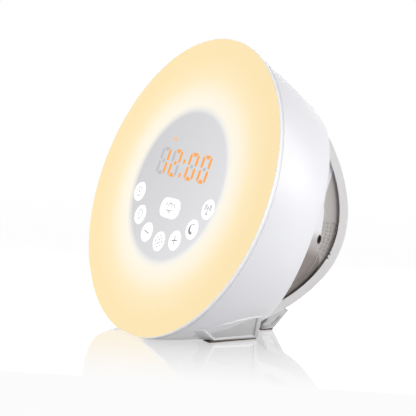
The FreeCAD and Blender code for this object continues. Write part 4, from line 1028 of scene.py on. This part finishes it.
board_green = circuit_board("Solder mask", srgb(38, 98, 62))
INSIDE = {
    "reflector_tray": moulded("Reflector white", srgb(242, 242, 238), roughness=0.6,
                              grain_depth=0.1),
    "lamp_board": circuit_board("White solder mask", srgb(225, 226, 222)),
    "switch_board": board_green,
    "main_board": board_green,
    "lamp_leds": moulded("Lamp phosphor", srgb(240, 214, 120), {"Coat Weight": 0.5}, roughness=0.3,
                         grain_depth=0.1),
    "lamp_pins": moulded("Plated pin", srgb(214, 180, 110), {"Metallic": 1.0}, roughness=0.3),
    "board_ribbon": moulded("Ribbon cable", srgb(165, 165, 170), roughness=0.5, tone=0.08),
    "key_switches": moulded("Switch moulding", srgb(48, 48, 50), roughness=0.5, grain_depth=0.2),
    "display_module": moulded("Display housing", srgb(34, 34, 36), roughness=0.45,
                              grain_depth=0.2),
    "main_board_parts": moulded("Chip epoxy", srgb(40, 40, 42), roughness=0.55, grain_depth=0.3),
    "speaker_frame": moulded("Pressed steel", srgb(160, 160, 164), {"Metallic": 1.0},
                             roughness=0.4, grain_depth=0.2),
    "speaker_cone": moulded("Speaker paper", srgb(50, 48, 46), roughness=0.9, grain_depth=0.8,
                            tone=0.2),
    "speaker_magnet": moulded("Ferrite", srgb(62, 62, 66), roughness=0.6, grain_depth=0.5,
                              tone=0.2),
    "speaker_lead": moulded("Red insulation", srgb(170, 48, 40), roughness=0.5),
    "power_lead": moulded("Red lead", srgb(164, 44, 38), roughness=0.5),
}
screw_steel = moulded("Zinc screw", srgb(176, 176, 180), {"Metallic": 1.0}, roughness=0.35,
                      roughness_spread=0.2, grain_depth=0.15)
for node in ("lamp_board_screws", "switch_board_screws", "main_board_screws", "housing_screws"):
    INSIDE[node] = screw_steel
for node in ("right_front_pad", "left_front_pad", "rear_pad"):
    INSIDE[node] = pad_rubber
for node, material in INSIDE.items():
    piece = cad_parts[node]
    piece.data.materials.clear()
    piece.data.materials.append(material)
print(len(INSIDE), "CAD pieces finished")

# %% [markdown]
# The clock stands on a glossy white table in plain soft light. The table is white to the
# camera, yet it still takes the clock's shadow and a fading mirror image, so its material
# adds a little light of its own to a pale paint.

# %% Table and room
WHITE = (1.0, 1.0, 1.0, 1.0)
TABLE_EDGE = 6.0


def mixed(tree, share, first, second):
    """A node that mixes two shaders, with the share of the second."""
    made = tree.nodes.new("ShaderNodeMixShader")
    for socket, value in zip(made.inputs, (share, first.outputs[0], second.outputs[0])):
        feed(tree, socket, value)
    return made


def pale_table():
    """Mostly its own white to the camera, some paint for the shadow, and a fading mirror.

    The mirror fades along the direction that leads from the clock to the photograph's
    viewpoint, and the share of plain white grows with the distance from the clock.
    """
    material, tree, shader = new_material("White table")
    shader.inputs["Roughness"].default_value = 0.8
    shader.inputs["Specular IOR Level"].default_value = 0.0
    path = tree.nodes.new("ShaderNodeLightPath")
    paint = add_node(tree, "ShaderNodeMix", data_type="RGBA")
    paint.inputs["A"].default_value = (0.62, 0.62, 0.62, 1)
    paint.inputs["B"].default_value = (0.9, 0.9, 0.9, 1)
    feed(tree, paint.inputs["Factor"], path.outputs["Is Camera Ray"])
    feed(tree, shader.inputs["Base Color"], paint.outputs["Result"])
    white = add_node(tree, "ShaderNodeEmission", Color=WHITE, Strength=1.0)
    mirror = add_node(tree, "ShaderNodeBsdfGlossy", Color=WHITE, Roughness=0.04)
    place = tree.nodes.new("ShaderNodeTexCoord").outputs["Object"]
    level = map_range(tree, measured(tree, "LENGTH", place), (0.2, 0.7, 0.93, 1.0))
    toward = measured(tree, "DOT_PRODUCT", place, (0.84, -0.54, 0.0))
    shine = mixed(tree, map_range(tree, toward, (0.05, 0.14, 0.42, 0.0)), white, mirror)
    seen = calculate(tree, "MAXIMUM", path.outputs["Is Camera Ray"], path.outputs["Is Glossy Ray"])
    blend = mixed(tree, calculate(tree, "MULTIPLY", seen, level), shader, shine)
    feed(tree, tree.nodes["Material Output"].inputs["Surface"], blend.outputs[0])
    return material


corners = TABLE_EDGE * np.array([(-1, -1, 0), (1, -1, 0), (1, 1, 0), (-1, 1, 0)])
table = make_object("table", corners, [[0, 1, 2, 3]])
table.data.materials.append(pale_table())

world = bpy.data.worlds.new("Soft room")
bpy.context.scene.world = world
world.use_nodes = True
tree = world.node_tree
sky = tree.nodes["Background"]
sky.inputs["Color"].default_value = (0.97, 0.975, 1.0, 1)
sky.inputs["Strength"].default_value = 0.22
seen_white = add_node(tree, "ShaderNodeBackground", Color=WHITE, Strength=1.0)
rays = tree.nodes.new("ShaderNodeLightPath").outputs
seen = calculate(tree, "MAXIMUM", rays["Is Camera Ray"], rays["Is Transmission Ray"])
seen = calculate(tree, "MAXIMUM", seen, rays["Is Glossy Ray"])
pick = mixed(tree, seen, sky, seen_white)
feed(tree, tree.nodes["World Output"].inputs["Surface"], pick.outputs[0])
print("table", 2 * TABLE_EDGE, "m wide")

# %% [markdown]
# Soft light comes from large area lamps. The one low on the right and the two behind it
# draw the highlights of the shell, and the two on the left fill the shade. A lamp in
# Blender shines along its own downward direction, so each is turned toward a target.

# %% Lamps
def soft_box(name, place, target, size, power):
    """A rectangular area lamp at a place, facing a target."""
    lamp = bpy.data.lights.new(name, "AREA")
    lamp.shape = "RECTANGLE"
    lamp.size, lamp.size_y = size
    lamp.energy = power
    holder = link_object(name, lamp)
    holder.rotation_euler = (Vector(target) - Vector(place)).to_track_quat("-Z", "Y").to_euler()
    holder.location = place


soft_box("Low right box", (1.35, 0.15, 0.19), (0.03, 0.0, 0.08), (0.6, 0.36), 7.4)
soft_box("Rear right box", (1.0, 0.75, 0.3), (0.03, 0.03, 0.1), (0.5, 0.5), 2.5)
soft_box("Highlight wall", (0.55, 1.1, 0.35), (0.05, 0.0, 0.11), (0.6, 0.9), 3.6)
soft_box("Front left box", (-0.6, -1.2, 0.5), (0, -0.05, 0.09), (0.8, 0.8), 9.0)
soft_box("Rear left box", (-1.1, 0.7, 0.6), (0, 0, 0.09), (0.8, 0.8), 9.0)
print(len(bpy.data.lights), "lamps")

# %% [markdown]
# The camera looks from the right and a little above, with a long lens. Its place and its
# slight roll were worked out from the ellipse of the face and the keys in the photograph,
# and its three directions are written here as the columns of its rotation.

# %% Camera
eye = bpy.data.cameras.new("Camera")
eye.sensor_width = 36.0
eye.sensor_fit = "HORIZONTAL"
eye.lens = 131.0
camera = link_object("Camera", eye)
right = (0.5373, 0.8414, 0.0574)
upward = (-0.1438, 0.0244, 0.9893)
backward = (0.8310, -0.5398, 0.1341)
turn = Matrix((right, upward, backward)).transposed().to_4x4()
spot = MIDDLE + np.array([0.74127, -0.45971, 0.10602])
camera.matrix_world = Matrix.Translation(spot.tolist()) @ turn
bpy.context.scene.camera = camera
bpy.context.scene.view_settings.view_transform = "Standard"
print("camera at", [round(v, 3) for v in camera.matrix_world.translation])
